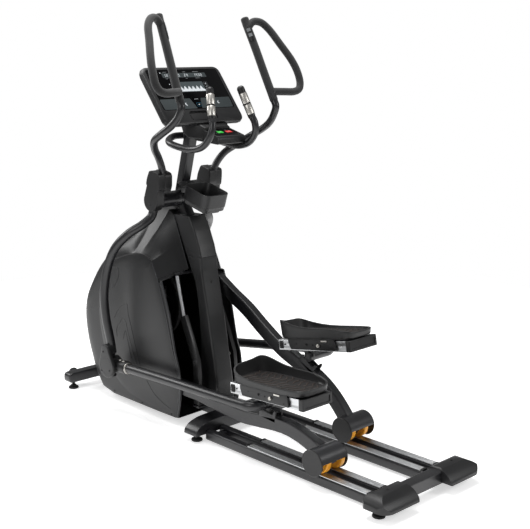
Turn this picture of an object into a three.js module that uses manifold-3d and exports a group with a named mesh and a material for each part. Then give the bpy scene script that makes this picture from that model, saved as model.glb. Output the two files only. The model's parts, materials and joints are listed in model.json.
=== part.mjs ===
// Elliptical trainer, modelled as an assembly of separate pieces. Millimetres, +X to the user's right,
// +Y forward (the way the user faces), +Z up, origin on the floor under the middle of the machine.
import * as THREE from 'three';
import { mergeVertices } from 'three/addons/utils/BufferGeometryUtils.js';
import Module from 'manifold-3d';

const wasm = await Module();
wasm.setup();

// ---------------------------------------------------------------- driving dimensions
const GAP = 0.3;                 // between pieces that touch
const HALF_LENGTH = 1067;        // front wheels to rear caps, from the middle
const FOOT_HEIGHT = 14;

const CRANK = { y: 581, z: 482, radius: 273 };
const CRANK_REST = 2.3;          // degrees the left pin stands past straight down
const ARM_LENGTH = 1252;         // roller axle to crank pin
const WHEEL_RADIUS = 50;
const STRIP_TOP = 56;            // running surface of the rails
const PIVOT = { y: 395, z: 1000 };   // upper axle of the swing arms
const SWING_RADIUS = 802;        // upper axle to lower pivot
const LEAN = 15.2;               // swing arm angle at which its shape is drawn
const LINK_TO_PIVOT = 935;       // lower pivot back to the cross tube
const LINK_DROP = 23;
const LINK_X = 262;
const RAIL_FROM = 790;           // pedal rail, measured back from the lower pivot
const RAIL_TO = 1200;
const RAIL_BASE = 8;
const RAIL_HEIGHT = 45;
const RAIL_X = [82, 248];
const ARM_X = [137, 180];
const WHEEL_X = [122, 201];
const TRACK_X = [122, 201];
const SHELL_HALF_WIDTH = 195;
const NECK_HALF_WIDTH = 72;
const SPINE_HALF_WIDTH = 50;
const MAST_HALF = 23;
const CONSOLE = { y: 310.5, z: 1464, width: 448, height: 298, depth: 42, recline: 38.3 };
const KEYPAD_TOP = 1306;

const LEFT = { name: 'left', sign: -1, crank: CRANK_REST, lean: 14.07, tilt: 3.35 };
const RIGHT = { name: 'right', sign: 1, crank: 180 + CRANK_REST, lean: 16.4, tilt: 10.6 };
const SIDES = [LEFT, RIGHT];

const rad = THREE.MathUtils.degToRad;
const v2 = (x, y) => new THREE.Vector2(x, y);
const v3 = (x, y, z) => new THREE.Vector3(x, y, z);

// ---------------------------------------------------------------- finishes
const FINISHES = {
  frame: [0x17181b, 0.35, 0.4],
  plastic: [0x2a2b2d, 0.55, 0.0],
  dark: [0x141416, 0.6, 0.0],
  aluminium: [0xc4c6c8, 0.35, 0.9],
  steel: [0xb9b4aa, 0.3, 1.0],
  foam: [0x1a1a1b, 0.9, 0.0],
  rubber: [0x111112, 0.85, 0.0],
  orange: [0xf08a12, 0.5, 0.0],
  display: [0x050506, 0.1, 0.0],
  green: [0x3bb54a, 0.45, 0.0],
  red: [0xd8423a, 0.45, 0.0],
};

function finish(name) {
  const [color, roughness, metalness] = FINISHES[name];
  return new THREE.MeshStandardMaterial({ color, roughness, metalness });
}

const trainer = new THREE.Group();
trainer.name = 'elliptical_trainer';

function piece(name, geometry, finishName, parent = trainer) {
  const mesh = new THREE.Mesh(geometry, finish(finishName));
  mesh.name = name;
  parent.add(mesh);
  return mesh;
}

// ---------------------------------------------------------------- solid helpers
function weld(geometry) {
  const bare = new THREE.BufferGeometry();
  bare.setAttribute('position', geometry.getAttribute('position').clone());
  if (geometry.index) bare.setIndex(geometry.index.clone());
  const merged = mergeVertices(bare, 1e-3);
  const source = merged.index.array;
  const kept = [];
  for (let i = 0; i < source.length; i += 3) {
    const [a, b, c] = source.slice(i, i + 3);
    if (a !== b && b !== c && c !== a) kept.push(a, b, c);
  }
  merged.setIndex(kept);
  return merged;
}

function solidOf(geometry) {
  const welded = weld(geometry);
  const vertProperties = new Float32Array(welded.getAttribute('position').array);
  const triVerts = new Uint32Array(welded.index.array);
  return new wasm.Manifold(new wasm.Mesh({ numProp: 3, vertProperties, triVerts }));
}

function geometryOf(solid) {
  const mesh = solid.getMesh();
  const geometry = new THREE.BufferGeometry();
  geometry.setAttribute('position', new THREE.BufferAttribute(new Float32Array(mesh.vertProperties), 3));
  geometry.setIndex(Array.from(mesh.triVerts));
  geometry.computeVertexNormals();
  return geometry;
}

const join = (...parts) => geometryOf(parts.map(solidOf).reduce((a, b) => a.add(b)));
const cut = (base, ...tools) => geometryOf(tools.map(solidOf).reduce((a, b) => a.subtract(b), solidOf(base)));
const common = (a, b) => geometryOf(solidOf(a).intersect(solidOf(b)));

// Mirrors a right-hand shape for the left side.
function forSide(geometry, side) {
  if (side.sign > 0) return geometry;
  const mirrored = weld(geometry);
  mirrored.scale(-1, 1, 1);
  const flipped = [];
  const source = mirrored.index.array;
  for (let i = 0; i < source.length; i += 3) flipped.push(source[i], source[i + 2], source[i + 1]);
  mirrored.setIndex(flipped);
  mirrored.computeVertexNormals();
  return mirrored;
}

function block(x, y, z) {
  const size = [x[1] - x[0], y[1] - y[0], z[1] - z[0]];
  return new THREE.BoxGeometry(...size).translate((x[0] + x[1]) / 2, (y[0] + y[1]) / 2, (z[0] + z[1]) / 2);
}

function extrude(shape, depth, bevel = 0, curveSegments = 5) {
  const options = { depth: depth - 2 * bevel, bevelEnabled: bevel > 0 };
  options.bevelSize = bevel;
  options.bevelThickness = bevel;
  options.bevelOffset = -bevel;
  options.bevelSegments = 1;
  options.curveSegments = curveSegments;
  return new THREE.ExtrudeGeometry(shape, options).translate(0, 0, bevel);
}

// Shape axes are (y, z); the prism runs from x[0] to x[1].
function prismX(shape, x, bevel = 0, curveSegments = 5) {
  const turn = new THREE.Matrix4().makeBasis(v3(0, 1, 0), v3(0, 0, 1), v3(1, 0, 0));
  return extrude(shape, x[1] - x[0], bevel, curveSegments).applyMatrix4(turn).translate(x[0], 0, 0);
}

// Shape axes are (x, y); the prism runs from z[0] to z[1].
const prismZ = (shape, z, bevel = 0) => extrude(shape, z[1] - z[0], bevel).translate(0, 0, z[0]);

function drumX(x, radius, y = 0, z = 0, sides = 20) {
  return new THREE.CylinderGeometry(radius, radius, x[1] - x[0], sides)
    .rotateZ(-Math.PI / 2)
    .translate((x[0] + x[1]) / 2, y, z);
}

function rodBetween(a, b, radius, sides = 20) {
  const along = b.clone().sub(a);
  const turn = new THREE.Quaternion().setFromUnitVectors(v3(0, 1, 0), along.clone().normalize());
  const middle = a.clone().add(b).multiplyScalar(0.5);
  return new THREE.CylinderGeometry(radius, radius, along.length(), sides)
    .applyQuaternion(turn)
    .translate(middle.x, middle.y, middle.z);
}

function tube(points, radius, steps = 24, sides = 12) {
  const path = new THREE.CatmullRomCurve3(points, false, 'centripetal');
  const section = new THREE.Shape();
  for (let i = 0; i < sides; i += 1) {
    const angle = (2 * Math.PI * i) / sides;
    section[i ? 'lineTo' : 'moveTo'](radius * Math.cos(angle), radius * Math.sin(angle));
  }
  section.closePath();
  return new THREE.ExtrudeGeometry(section, { steps, extrudePath: path, curveSegments: 1 });
}

const polygon = (points) => new THREE.Shape(points.map(([a, b]) => v2(a, b)));

function roundedRect(a, b, radius) {
  const shape = new THREE.Shape();
  shape.absarc(a[1] - radius, b[0] + radius, radius, -Math.PI / 2, 0, false);
  shape.absarc(a[1] - radius, b[1] - radius, radius, 0, Math.PI / 2, false);
  shape.absarc(a[0] + radius, b[1] - radius, radius, Math.PI / 2, Math.PI, false);
  shape.absarc(a[0] + radius, b[0] + radius, radius, Math.PI, 1.5 * Math.PI, false);
  shape.closePath();
  return shape;
}

// A band of even width along a line, used for bars, arms and uprights.
function ribbon(line, halfWidth) {
  const normals = line.map((p, i) => {
    const before = line[Math.max(i - 1, 0)];
    const after = line[Math.min(i + 1, line.length - 1)];
    const along = after.clone().sub(before).normalize();
    return along.rotateAround(v2(0, 0), Math.PI / 2).multiplyScalar(halfWidth);
  });
  const left = line.map((p, i) => p.clone().add(normals[i]));
  const right = line.map((p, i) => p.clone().sub(normals[i]));
  return new THREE.Shape([...right, ...left.reverse()]);
}

// A closed skin over rings of equal point count, with a fan at each end.
function loft(rings, firstCentre, lastCentre) {
  const count = rings[0].length;
  const points = [...rings.flat(), firstCentre, lastCentre];
  const index = [];
  for (let k = 0; k + 1 < rings.length; k += 1) {
    for (let i = 0; i < count; i += 1) {
      const j = (i + 1) % count;
      const [a, b, c, d] = [k * count + i, k * count + j, (k + 1) * count + j, (k + 1) * count + i];
      index.push(a, b, c, a, c, d);
    }
  }
  const [first, last] = [points.length - 2, points.length - 1];
  const base = (rings.length - 1) * count;
  for (let i = 0; i < count; i += 1) {
    const j = (i + 1) % count;
    index.push(first, j, i, last, base + i, base + j);
  }
  const geometry = new THREE.BufferGeometry().setFromPoints(points);
  geometry.setIndex(index);
  geometry.computeVertexNormals();
  return geometry;
}

// ---------------------------------------------------------------- rest pose of the linkage
const ROLLER_Z = STRIP_TOP + WHEEL_RADIUS + GAP;

function crankPin(side) {
  const angle = rad(side.crank);
  return v2(CRANK.y + CRANK.radius * Math.sin(angle), CRANK.z - CRANK.radius * Math.cos(angle));
}

function rollerY(side) {
  const pin = crankPin(side);
  return pin.x - Math.sqrt(ARM_LENGTH ** 2 - (pin.y - ROLLER_Z) ** 2);
}

function armAngle(side) {
  const pin = crankPin(side);
  return Math.atan2(pin.y - ROLLER_Z, pin.x - rollerY(side));
}

function lowerPivot(lean) {
  return v2(PIVOT.y + SWING_RADIUS * Math.sin(rad(lean)), PIVOT.z - SWING_RADIUS * Math.cos(rad(lean)));
}

function frameAt(y, z, turn) {
  const group = new THREE.Group();
  group.position.set(0, y, z);
  group.rotation.x = turn;
  trainer.add(group);
  return group;
}

// ---------------------------------------------------------------- floor frame
const REAR_TUBE = { y: [-1010, -960], z: [32, 84], halfWidth: 290 };
const MID_TUBE = { y: [-8, 72], z: [34, 92], halfWidth: 275 };
const FRONT_TUBE = { y: [958, 1010], z: [36, 86], halfWidth: 265 };
const BEAM = { halfWidth: 40, z: [34, 94] };

function floorFrame() {
  const rear = roundedRect([-REAR_TUBE.halfWidth, REAR_TUBE.halfWidth], REAR_TUBE.y, 8);
  piece('rear_stabilizer', prismZ(rear, REAR_TUBE.z, 3), 'frame');
  const mid = roundedRect([-MID_TUBE.halfWidth, MID_TUBE.halfWidth], MID_TUBE.y, 34);
  piece('mid_stabilizer', prismZ(mid, MID_TUBE.z, 8), 'frame');

  const front = roundedRect([-FRONT_TUBE.halfWidth, FRONT_TUBE.halfWidth], FRONT_TUBE.y, 20);
  const parts = [prismZ(front, FRONT_TUBE.z, 4)];
  for (const sign of [-1, 1]) {
    for (const offset of [-17, 17]) {
      const x = sign * TRANSPORT.x + offset;
      parts.push(block([x - 2.5, x + 2.5], [1000, TRANSPORT.y + 8], [TRANSPORT.z - 14, TRANSPORT.z + 10]));
    }
    const pin = [sign * TRANSPORT.x - 18, sign * TRANSPORT.x + 18];
    parts.push(drumX(pin, 6, TRANSPORT.y, TRANSPORT.z, 16));
  }
  piece('front_stabilizer', join(...parts), 'frame');

  const beam = block([-BEAM.halfWidth, BEAM.halfWidth], [MID_TUBE.y[1] + GAP, FRONT_TUBE.y[0] - GAP], BEAM.z);
  const strutSeat = block([-122, 122], [150, 192], [BEAM.z[1] - 10, BEAM.z[1]]);
  piece('base_beam', join(beam, strutSeat), 'frame');
}

const TRANSPORT = { x: 186, y: 1039, z: 55, radius: 28, halfWidth: 12 };

function transportWheels() {
  for (const side of SIDES) {
    const tread = [
      v2(6.4, -TRANSPORT.halfWidth), v2(TRANSPORT.radius - 4, -TRANSPORT.halfWidth),
      v2(TRANSPORT.radius, -TRANSPORT.halfWidth + 5), v2(TRANSPORT.radius, TRANSPORT.halfWidth - 5),
      v2(TRANSPORT.radius - 4, TRANSPORT.halfWidth), v2(6.4, TRANSPORT.halfWidth),
      v2(6.4, -TRANSPORT.halfWidth),
    ];
    const wheel = new THREE.LatheGeometry(tread, 14).rotateZ(-Math.PI / 2);
    wheel.translate(side.sign * TRANSPORT.x, TRANSPORT.y, TRANSPORT.z);
    piece(`transport_wheel_${side.name}`, wheel, 'rubber');
  }
}

function levellingFeet() {
  const rows = [
    ['rear', 244, -985, REAR_TUBE.z[0]],
    ['mid', 237, 30, MID_TUBE.z[0]],
    ['front', 225, 985, FRONT_TUBE.z[0]],
  ];
  for (const [row, x, y, top] of rows) {
    for (const side of SIDES) {
      const profile = [
        v2(0, 0), v2(23, 0), v2(25, 3), v2(24, 8), v2(14, FOOT_HEIGHT), v2(7, FOOT_HEIGHT + 2),
        v2(7, top - GAP), v2(0, top - GAP),
      ];
      const foot = new THREE.LatheGeometry(profile, 12).rotateX(Math.PI / 2);
      piece(`foot_${row}_${side.name}`, foot.translate(side.sign * x, y, 0), 'rubber');
    }
  }
}

function railsAndTracks() {
  const half = 19;
  const from = REAR_TUBE.y[1] + GAP;
  const to = MID_TUBE.y[0] - GAP;
  for (const side of SIDES) {
    const bars = TRACK_X.map((x) => block([x - half, x + half], [from, to], [8, STRIP_TOP - 4.5]));
    const ties = [-925, -500, -45].map((y) => block([TRACK_X[0], TRACK_X[1]], [y - 15, y + 15], [12, 40]));
    piece(`rail_frame_${side.name}`, forSide(join(...bars, ...ties), side), 'frame');
    TRACK_X.forEach((x, i) => {
      const strip = block([x - 17, x + 17], [-903, -267], [STRIP_TOP - 4.2, STRIP_TOP]);
      piece(`track_strip_${side.name}_${i ? 'outer' : 'inner'}`, forSide(strip, side), 'aluminium');
    });
  }
}

function rearCaps() {
  const [inner, outer] = [90, 305];
  const rearY = -HALF_LENGTH;
  const frontY = -930;
  const section = polygon([
    [frontY, 24], [frontY, 98], [frontY - 10, 105], [-990, 106], [-1050, 66], [rearY, 44], [rearY, 24],
  ]);
  const plan = new THREE.Shape();
  plan.moveTo(inner, rearY);
  plan.lineTo(outer - 60, rearY);
  plan.absarc(outer - 60, rearY + 60, 60, -Math.PI / 2, 0, false);
  plan.lineTo(outer, frontY - 20);
  plan.absarc(outer - 20, frontY - 20, 20, 0, Math.PI / 2, false);
  plan.lineTo(inner, frontY);
  plan.closePath();
  const pocket = block(
    [inner - 5, REAR_TUBE.halfWidth + GAP],
    [REAR_TUBE.y[0] - GAP, REAR_TUBE.y[1] + GAP],
    [-1, REAR_TUBE.z[1] + GAP],
  );
  const notches = TRACK_X.map((x) => block([x - 19.4, x + 19.4], [-962, frontY + 5], [-1, STRIP_TOP - 4]));
  const tie = block([TRACK_X[0], TRACK_X[1]], [-962, frontY + 5], [-1, 41]);
  for (const side of SIDES) {
    const blank = common(prismX(section, [inner, outer], 4), prismZ(plan, [20, 110]));
    piece(`rear_cap_${side.name}`, forSide(cut(blank, pocket, ...notches, tie), side), 'plastic');
  }
}

// ---------------------------------------------------------------- upright, mast and drive frame
const MAST_LEAN = 0.262;
const mastY = (z) => 350 + (1208 - z) * MAST_LEAN;

function consoleGroup() {
  const group = new THREE.Group();
  group.position.set(0, CONSOLE.y, CONSOLE.z);
  group.rotation.x = rad(90 - CONSOLE.recline);
  trainer.add(group);
  group.updateMatrixWorld(true);
  return group;
}

function frameMast() {
  const upright = [
    v2(150, BEAM.z[1] + GAP), v2(150, 130), v2(215, 495), v2(262, 757), v2(350, 905), v2(mastY(985), 985),
  ];
  const upper = [v2(mastY(960), 960), v2(mastY(1364), 1364)];
  const group = consoleGroup();
  const plate = block([-60, 60], [-108, 50], [-CONSOLE.depth - GAP - 8, -CONSOLE.depth - GAP]);
  plate.applyMatrix4(group.matrixWorld);
  const body = join(
    prismX(ribbon(upright, MAST_HALF), [-MAST_HALF, MAST_HALF]),
    prismX(ribbon(upper, MAST_HALF), [-MAST_HALF, MAST_HALF]),
    drumX([-25.6, 25.6], 30, PIVOT.y, PIVOT.z),
    block([-MAST_HALF, MAST_HALF], [240, 326], [668, 680]),
    block([-118, 118], [302, 326], [668, 680]),
    block([-MAST_HALF, MAST_HALF], [340, 358], [1268, 1292]),
    plate,
  );
  piece('frame_mast', cut(body, drumX([-40, 40], 15.4, PIVOT.y, PIVOT.z)), 'frame');
  piece('pivot_axle', drumX([-170, 170], 15, PIVOT.y, PIVOT.z), 'steel');
}

const FLYWHEEL = { y: 760, z: 330, radius: 122, x: [32, 78], pulley: 30 };
const PULLEY_RADIUS = 160;

function driveTrain() {
  const outline = polygon([
    [450, BEAM.z[1] + GAP], [820, BEAM.z[1] + GAP], [800, 330], [775, 365], [610, 515], [550, 515],
    [520, 420],
  ]);
  const plates = [[-24, -16], [16, 24]].map((x) => prismX(outline, x));
  const web = block([-24, 24], [500, 780], [BEAM.z[1] + GAP, BEAM.z[1] + 12]);
  const bores = [CRANK, FLYWHEEL].map(({ y, z }) => drumX([-40, 40], 14.5, y, z, 16));
  piece('drive_bracket', cut(join(...plates, web), ...bores), 'frame');

  const pins = SIDES.map((side) => crankPin(side));
  const arms = SIDES.map((side, i) => {
    const x = side.sign > 0 ? [98, 116] : [-116, -98];
    return prismX(ribbon([v2(CRANK.y, CRANK.z), pins[i]], 24), x, 2);
  });
  const studs = SIDES.map((side, i) => {
    const x = side.sign > 0 ? [98, 130] : [-130, -98];
    const collar = side.sign > 0 ? [86, 114.4] : [-114.4, -86];
    return join(drumX(x, 13, pins[i].x, pins[i].y, 20), drumX(collar, 20, pins[i].x, pins[i].y));
  });
  const hub = drumX([-116, 116], 14, CRANK.y, CRANK.z, 16);
  piece('crank', join(hub, ...arms, ...studs), 'frame');

  const bore = drumX([-20, 20], 14.5, CRANK.y, CRANK.z, 16);
  const windows = [0, 1, 2, 3, 4].map((i) => {
    const angle = rad(72 * i);
    return drumX([-20, 20], 32, CRANK.y + 95 * Math.cos(angle), CRANK.z + 95 * Math.sin(angle), 10);
  });
  const pulley = drumX([-12, 12], PULLEY_RADIUS, CRANK.y, CRANK.z, 28);
  piece('drive_pulley', cut(pulley, bore, ...windows), 'dark');

  const flywheel = join(
    drumX(FLYWHEEL.x, FLYWHEEL.radius, FLYWHEEL.y, FLYWHEEL.z, 28),
    drumX([-30, FLYWHEEL.x[1] + 6], 14, FLYWHEEL.y, FLYWHEEL.z, 16),
    drumX([-11, 11], FLYWHEEL.pulley, FLYWHEEL.y, FLYWHEEL.z, 16),
  );
  piece('flywheel', flywheel, 'steel');
  piece('drive_belt', prismX(beltShape(), [-9, 9], 0, 10), 'rubber');
}

function beltShape() {
  const span = v2(FLYWHEEL.y - CRANK.y, FLYWHEEL.z - CRANK.z);
  const heading = span.angle();
  const spread = Math.acos((PULLEY_RADIUS - FLYWHEEL.pulley) / span.length());
  const loop = (path, grow) => {
    const big = PULLEY_RADIUS + grow;
    const small = FLYWHEEL.pulley + grow;
    path.absarc(CRANK.y, CRANK.z, big, heading + spread, heading - spread, false);
    path.absarc(FLYWHEEL.y, FLYWHEEL.z, small, heading - spread, heading + spread, false);
    path.closePath();
    return path;
  };
  const shape = loop(new THREE.Shape(), 6);
  shape.holes.push(loop(new THREE.Path(), 3));
  return shape;
}

// ---------------------------------------------------------------- shroud
const SHELL_CORE = v2(560, 440);
const SHELL_WALL = 4;
const SPINE_REAR = [[99, 97], [107, 200], [133, 340], [162, 495], [207, 690], [211, 757], [245, 850], [290, 928]];
const SPINE_FRONT = [[392, 928], [340, 828], [283, 704], [246, 640], [215, 400], [205, 200], [200, 97]];

function shellOutline() {
  const rear = [v2(205, 22), v2(205, 240), v2(218, 405), v2(246, 560), v2(268, 650), v2(283, 704)];
  const neck = [v2(340, 828), v2(400, 935), v2(440, 952), v2(500, 950)];
  const front = new THREE.SplineCurve([
    v2(520, 930), v2(600, 845), v2(690, 762), v2(785, 665), v2(870, 560), v2(922, 470), v2(940, 380),
    v2(925, 270), v2(885, 172), v2(842, 96), v2(774, 33),
  ]).getPoints(18);
  return [...rear, ...neck, ...front, v2(600, 22), v2(400, 22)].reverse();
}

function shellWidth(z) {
  const t = THREE.MathUtils.smoothstep(z, 800, 945);
  return SHELL_HALF_WIDTH + (NECK_HALF_WIDTH - SHELL_HALF_WIDTH) * t;
}

// One ring of the shell's skin; the inner skin's rings lie a wall further in. The slot's edge stays crisp.
function shellRing(outline, scale, reach, isInner) {
  const wallShrink = isInner ? 0.012 : 0;
  const wall = isInner && reach > 0 ? SHELL_WALL : 0;
  return outline.map((p) => {
    const softness = p.x < 275 && p.y < 660 ? 0.25 : 1;
    const shrink = 1 - (1 - scale) * softness - wallShrink;
    const y = SHELL_CORE.x + (p.x - SHELL_CORE.x) * shrink;
    const z = SHELL_CORE.y + (p.y - SHELL_CORE.y) * shrink;
    return v3(Math.max(GAP, GAP + reach * (shellWidth(z) - GAP) - wall), y, z);
  });
}

function shroudShell(side) {
  const outline = shellOutline();
  const steps = [[1, 0], [1, 0.86], [0.985, 0.935], [0.955, 0.975], [0.9, 0.995], [0.77, 1], [0.5, 1]];
  const outer = steps.map(([scale, reach]) => shellRing(outline, scale, reach, false));
  const inner = steps.map(([scale, reach]) => shellRing(outline, scale, reach, true)).reverse();
  const outerPole = v3(SHELL_HALF_WIDTH, SHELL_CORE.x, SHELL_CORE.y);
  const innerPole = v3(SHELL_HALF_WIDTH - SHELL_WALL, SHELL_CORE.x, SHELL_CORE.y);
  const skin = loft([...inner, ...outer], innerPole, outerPole);
  const slot = block([-1, 187], [-100, 285], [60, 650]);
  const rearWall = SPINE_FRONT.map(([y, z]) => [y + 16, z]);
  const behindSpine = polygon([[-100, 20], ...rearWall.reverse(), [430, 980], [-100, 980]]);
  const spineRoom = prismX(behindSpine, [-1, SPINE_HALF_WIDTH + GAP]);
  const mastRoom = block([-1, MAST_HALF + 4], [360, 452], [880, 990]);
  const beamRoom = block([-1, BEAM.halfWidth + 2], [100, 1000], [0, BEAM.z[1] + 2]);
  return forSide(cut(skin, slot, spineRoom, mastRoom, beamRoom), side);
}

function shroud() {
  for (const side of SIDES) piece(`shroud_${side.name}`, shroudShell(side), 'plastic');
  const wall = 3;
  const spineSide = polygon([...SPINE_REAR, ...SPINE_FRONT]);
  const outside = prismX(spineSide, [-SPINE_HALF_WIDTH, SPINE_HALF_WIDTH], 1.5);
  const hollow = polygon([
    ...SPINE_REAR.map(([y, z], i) => [y + wall * 1.4, i ? z : z - 20]),
    [520, 1000], [520, 77],
  ]);
  const room = prismX(hollow, [-SPINE_HALF_WIDTH + wall, SPINE_HALF_WIDTH - wall]);
  piece('spine_cover', cut(outside, room), 'plastic');
}

function slotStruts() {
  const top = v2(314, 664);
  const joint = v2(266, 478);
  const bolt = v2(178, 296);
  for (const side of SIDES) {
    const rod = rodBetween(v3(105, top.x, top.y), v3(105, joint.x, joint.y), 9);
    const line = [v2(272, 492), v2(230, 400), bolt, v2(171, 200), v2(170, BEAM.z[1] + GAP)];
    const bar = prismX(ribbon(line, 15), [92, 118], 1);
    piece(`slot_strut_${side.name}`, forSide(join(rod, bar), side), 'frame');
  }
}

// ---------------------------------------------------------------- accessory tray
function accessoryTray() {
  const group = frameAt(362.5, 1091, rad(15));
  const outside = prismZ(roundedRect([-72, 72], [-222, -62], 22), [-82, 0], 2);
  const inside = prismZ(roundedRect([-68, 68], [-218, -66], 18), [-78, 10]);
  const shelf = block([-62, 62], [-64, -8], [-16, -10]);
  const lip = block([-62, 62], [-14, -8], [-46, -10]);
  piece('accessory_tray', cut(join(outside, shelf, lip), inside), 'plastic', group);
}

// ---------------------------------------------------------------- console
function consoleParts() {
  const group = consoleGroup();
  const halfWidth = CONSOLE.width / 2;
  const halfHeight = CONSOLE.height / 2;
  const outline = roundedRect([-halfWidth, halfWidth], [-halfHeight, halfHeight], 34);
  const housing = prismZ(outline, [-CONSOLE.depth, 0], 9);
  const recess = prismZ(roundedRect([-204, 204], [-78, 134], 14), [-3, 10]);
  const dish = prismZ(roundedRect([-70, 70], [-132, -88], 12), [-10, 10]);
  housing.applyMatrix4(group.matrixWorld);
  recess.applyMatrix4(group.matrixWorld);
  dish.applyMatrix4(group.matrixWorld);
  const keypad = polygon([
    [118, 1270], [112, 1278], [112, 1300], [118, KEYPAD_TOP], [216, KEYPAD_TOP], [236, 1356], [256, 1356],
    [256, 1270],
  ]);
  const keypadBlock = prismX(keypad, [-108, 108], 4);
  const pockets = BUTTONS.map(({ x }) => block(
    [x - 16.5, x + 16.5],
    [BUTTON_Y - 10.5, BUTTON_Y + 10.5],
    [KEYPAD_TOP - 7, KEYPAD_TOP + 5],
  ));
  piece('console_housing', cut(join(housing, keypadBlock), recess, dish, ...pockets), 'plastic');
  const lens = prismZ(roundedRect([-203.6, 203.6], [-77.6, 133.6], 13.6), [-3 + GAP, -0.4]);
  piece('console_lens', lens, 'display', group);
  for (const { name, x, color } of BUTTONS) {
    const face = roundedRect([x - 16, x + 16], [BUTTON_Y - 10, BUTTON_Y + 10], 3);
    const cap = prismZ(face, [KEYPAD_TOP - 4.5, KEYPAD_TOP + 2]);
    piece(`${name}_button`, cap, color);
  }
}

const BUTTON_Y = 160;
const BUTTONS = [{ name: 'start', x: 21, color: 'green' }, { name: 'stop', x: 71, color: 'red' }];

function fixedHandlebar() {
  const half = [
    v3(60, 374, 1280), v3(108, 352, 1268), v3(133, 312, 1257), v3(137, 250, 1246), v3(134, 160, 1241),
    v3(132, 92, 1262), v3(129, 52, 1308), v3(121, 48, 1350), v3(116, 59, 1373),
  ];
  const mirrored = half.map((p) => v3(-p.x, p.y, p.z)).reverse();
  const bar = tube([...mirrored, v3(0, 375, 1281), ...half], 15, 32, 10);
  piece('fixed_handlebar', bar, 'frame');
  for (const side of SIDES) {
    const from = v3(115, 60.5, 1378);
    const to = v3(91, 98, 1479);
    const core = rodBetween(from, to, 18, 16);
    const dome = new THREE.SphereGeometry(18, 16, 5).translate(to.x, to.y, to.z);
    piece(`pulse_grip_${side.name}`, forSide(join(core, dome), side), 'steel');
  }
}

// ---------------------------------------------------------------- swing arms
// Drawn at LEAN and placed relative to the upper axle.
const fromPivot = ([x, y, z]) => v3(x, y - PIVOT.y, z - PIVOT.z);

const HANDLE_PATH = [
  [147, 366, 1076], [148, 347, 1124], [163, 337, 1160], [192, 320, 1200], [240, 282, 1240], [276, 236, 1278],
  [284, 183, 1307], [277, 125, 1342], [267, 88, 1380], [263.2, 71, 1420], [261, 81, 1445],
];
const GRIP_BAR = [[260.9, 81.6, 1446.4], [252, 128, 1545], [241, 186, 1670], [231, 237, 1775], [230, 243, 1789]];
const GRIP_LOOP = [
  [233, 225, 1752], [262, 222, 1778], [310, 203, 1762], [348, 172, 1725], [383, 125, 1655], [402, 84, 1580],
  [400, 62, 1522], [376, 55, 1492], [330, 56, 1478], [262, 84, 1482],
];
const LOWER_PATH = [
  [146, 404, 985], [150, 418, 950], [158, 422, 926], [195, 438, 893], [243, 486, 850], [272, 548, 782],
  [281, 598, 690], [286, 627, 560], [282, 625, 445], [271, 612, 340], [268, 605, 282],
];
const HANDLE_STEPS = 22;
const SWING_X = [106, 184];
const PLATE_X = [286, 294];
const BUSH_X = [237, 285];

function hubBlock() {
  const lean = rad(LEAN);
  const axis = (u, v) => v2(u, v).rotateAround(v2(0, 0), lean);
  const outline = (points) => new THREE.Shape(points.map(([u, v]) => axis(u, v)));
  const low = Array.from({ length: 9 }, (_, i) => {
    const angle = Math.PI + (Math.PI * i) / 8;
    return [46 * Math.cos(angle), 46 * Math.sin(angle)];
  });
  const head = [[46, 90], [38, 128], [30, 134], [-26, 134], [-36, 126], [-46, 80]];
  const cover = outline([...low, ...head]);
  const collar = outline([[46, 42], ...head, [-40, 42]]);
  return join(prismX(cover, [142, SWING_X[1]], 7), prismX(collar, [SWING_X[0], 150], 7));
}

function swingArm(side) {
  const group = frameAt(PIVOT.y, PIVOT.z, rad(side.lean - LEAN));
  const barrel = drumX([26.6, 146], 35);
  const lower = tube(LOWER_PATH.map(fromPivot), 20, 18, 10);
  const foot = lowerPivot(LEAN).sub(v2(PIVOT.y, PIVOT.z));
  const plateLine = [v2(210, -700), v2(210.5, -740), foot.clone()];
  const plate = prismX(ribbon(plateLine, 18), PLATE_X);
  const boss = drumX(PLATE_X, 26, foot.x, foot.y);
  const pin = drumX([BUSH_X[0] - 1, PLATE_X[1] - 2], 14, foot.x, foot.y, 20);
  const bore = drumX([0, 171], 15.4, 0, 0);
  const socket = tube(HANDLE_PATH.map(fromPivot), 17.4, HANDLE_STEPS, 10);
  const body = cut(join(hubBlock(), barrel, lower, plate, boss, pin), bore, socket);
  piece(`swing_arm_${side.name}`, forSide(body, side), 'frame', group);

  const handle = tube(HANDLE_PATH.map(fromPivot), 16, HANDLE_STEPS, 10);
  piece(`handlebar_${side.name}`, forSide(handle, side), 'frame', group);
  const grip = join(tube(GRIP_BAR.map(fromPivot), 18, 6, 10), tube(GRIP_LOOP.map(fromPivot), 16.5, 20, 8));
  piece(`hand_grip_${side.name}`, forSide(grip, side), 'foam', group);

  const cover = new THREE.Shape();
  cover.absarc(foot.x, foot.y, 56, Math.PI * 0.92, Math.PI * 2.06, false);
  cover.lineTo(foot.x + 30, foot.y + 74);
  cover.absarc(foot.x + 4, foot.y + 74, 26, 0, Math.PI, false);
  cover.closePath();
  const coverDisc = prismX(cover, [PLATE_X[1] + GAP, 309], 5);
  piece(`pivot_cover_${side.name}`, forSide(coverDisc, side), 'plastic', group);
}

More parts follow.
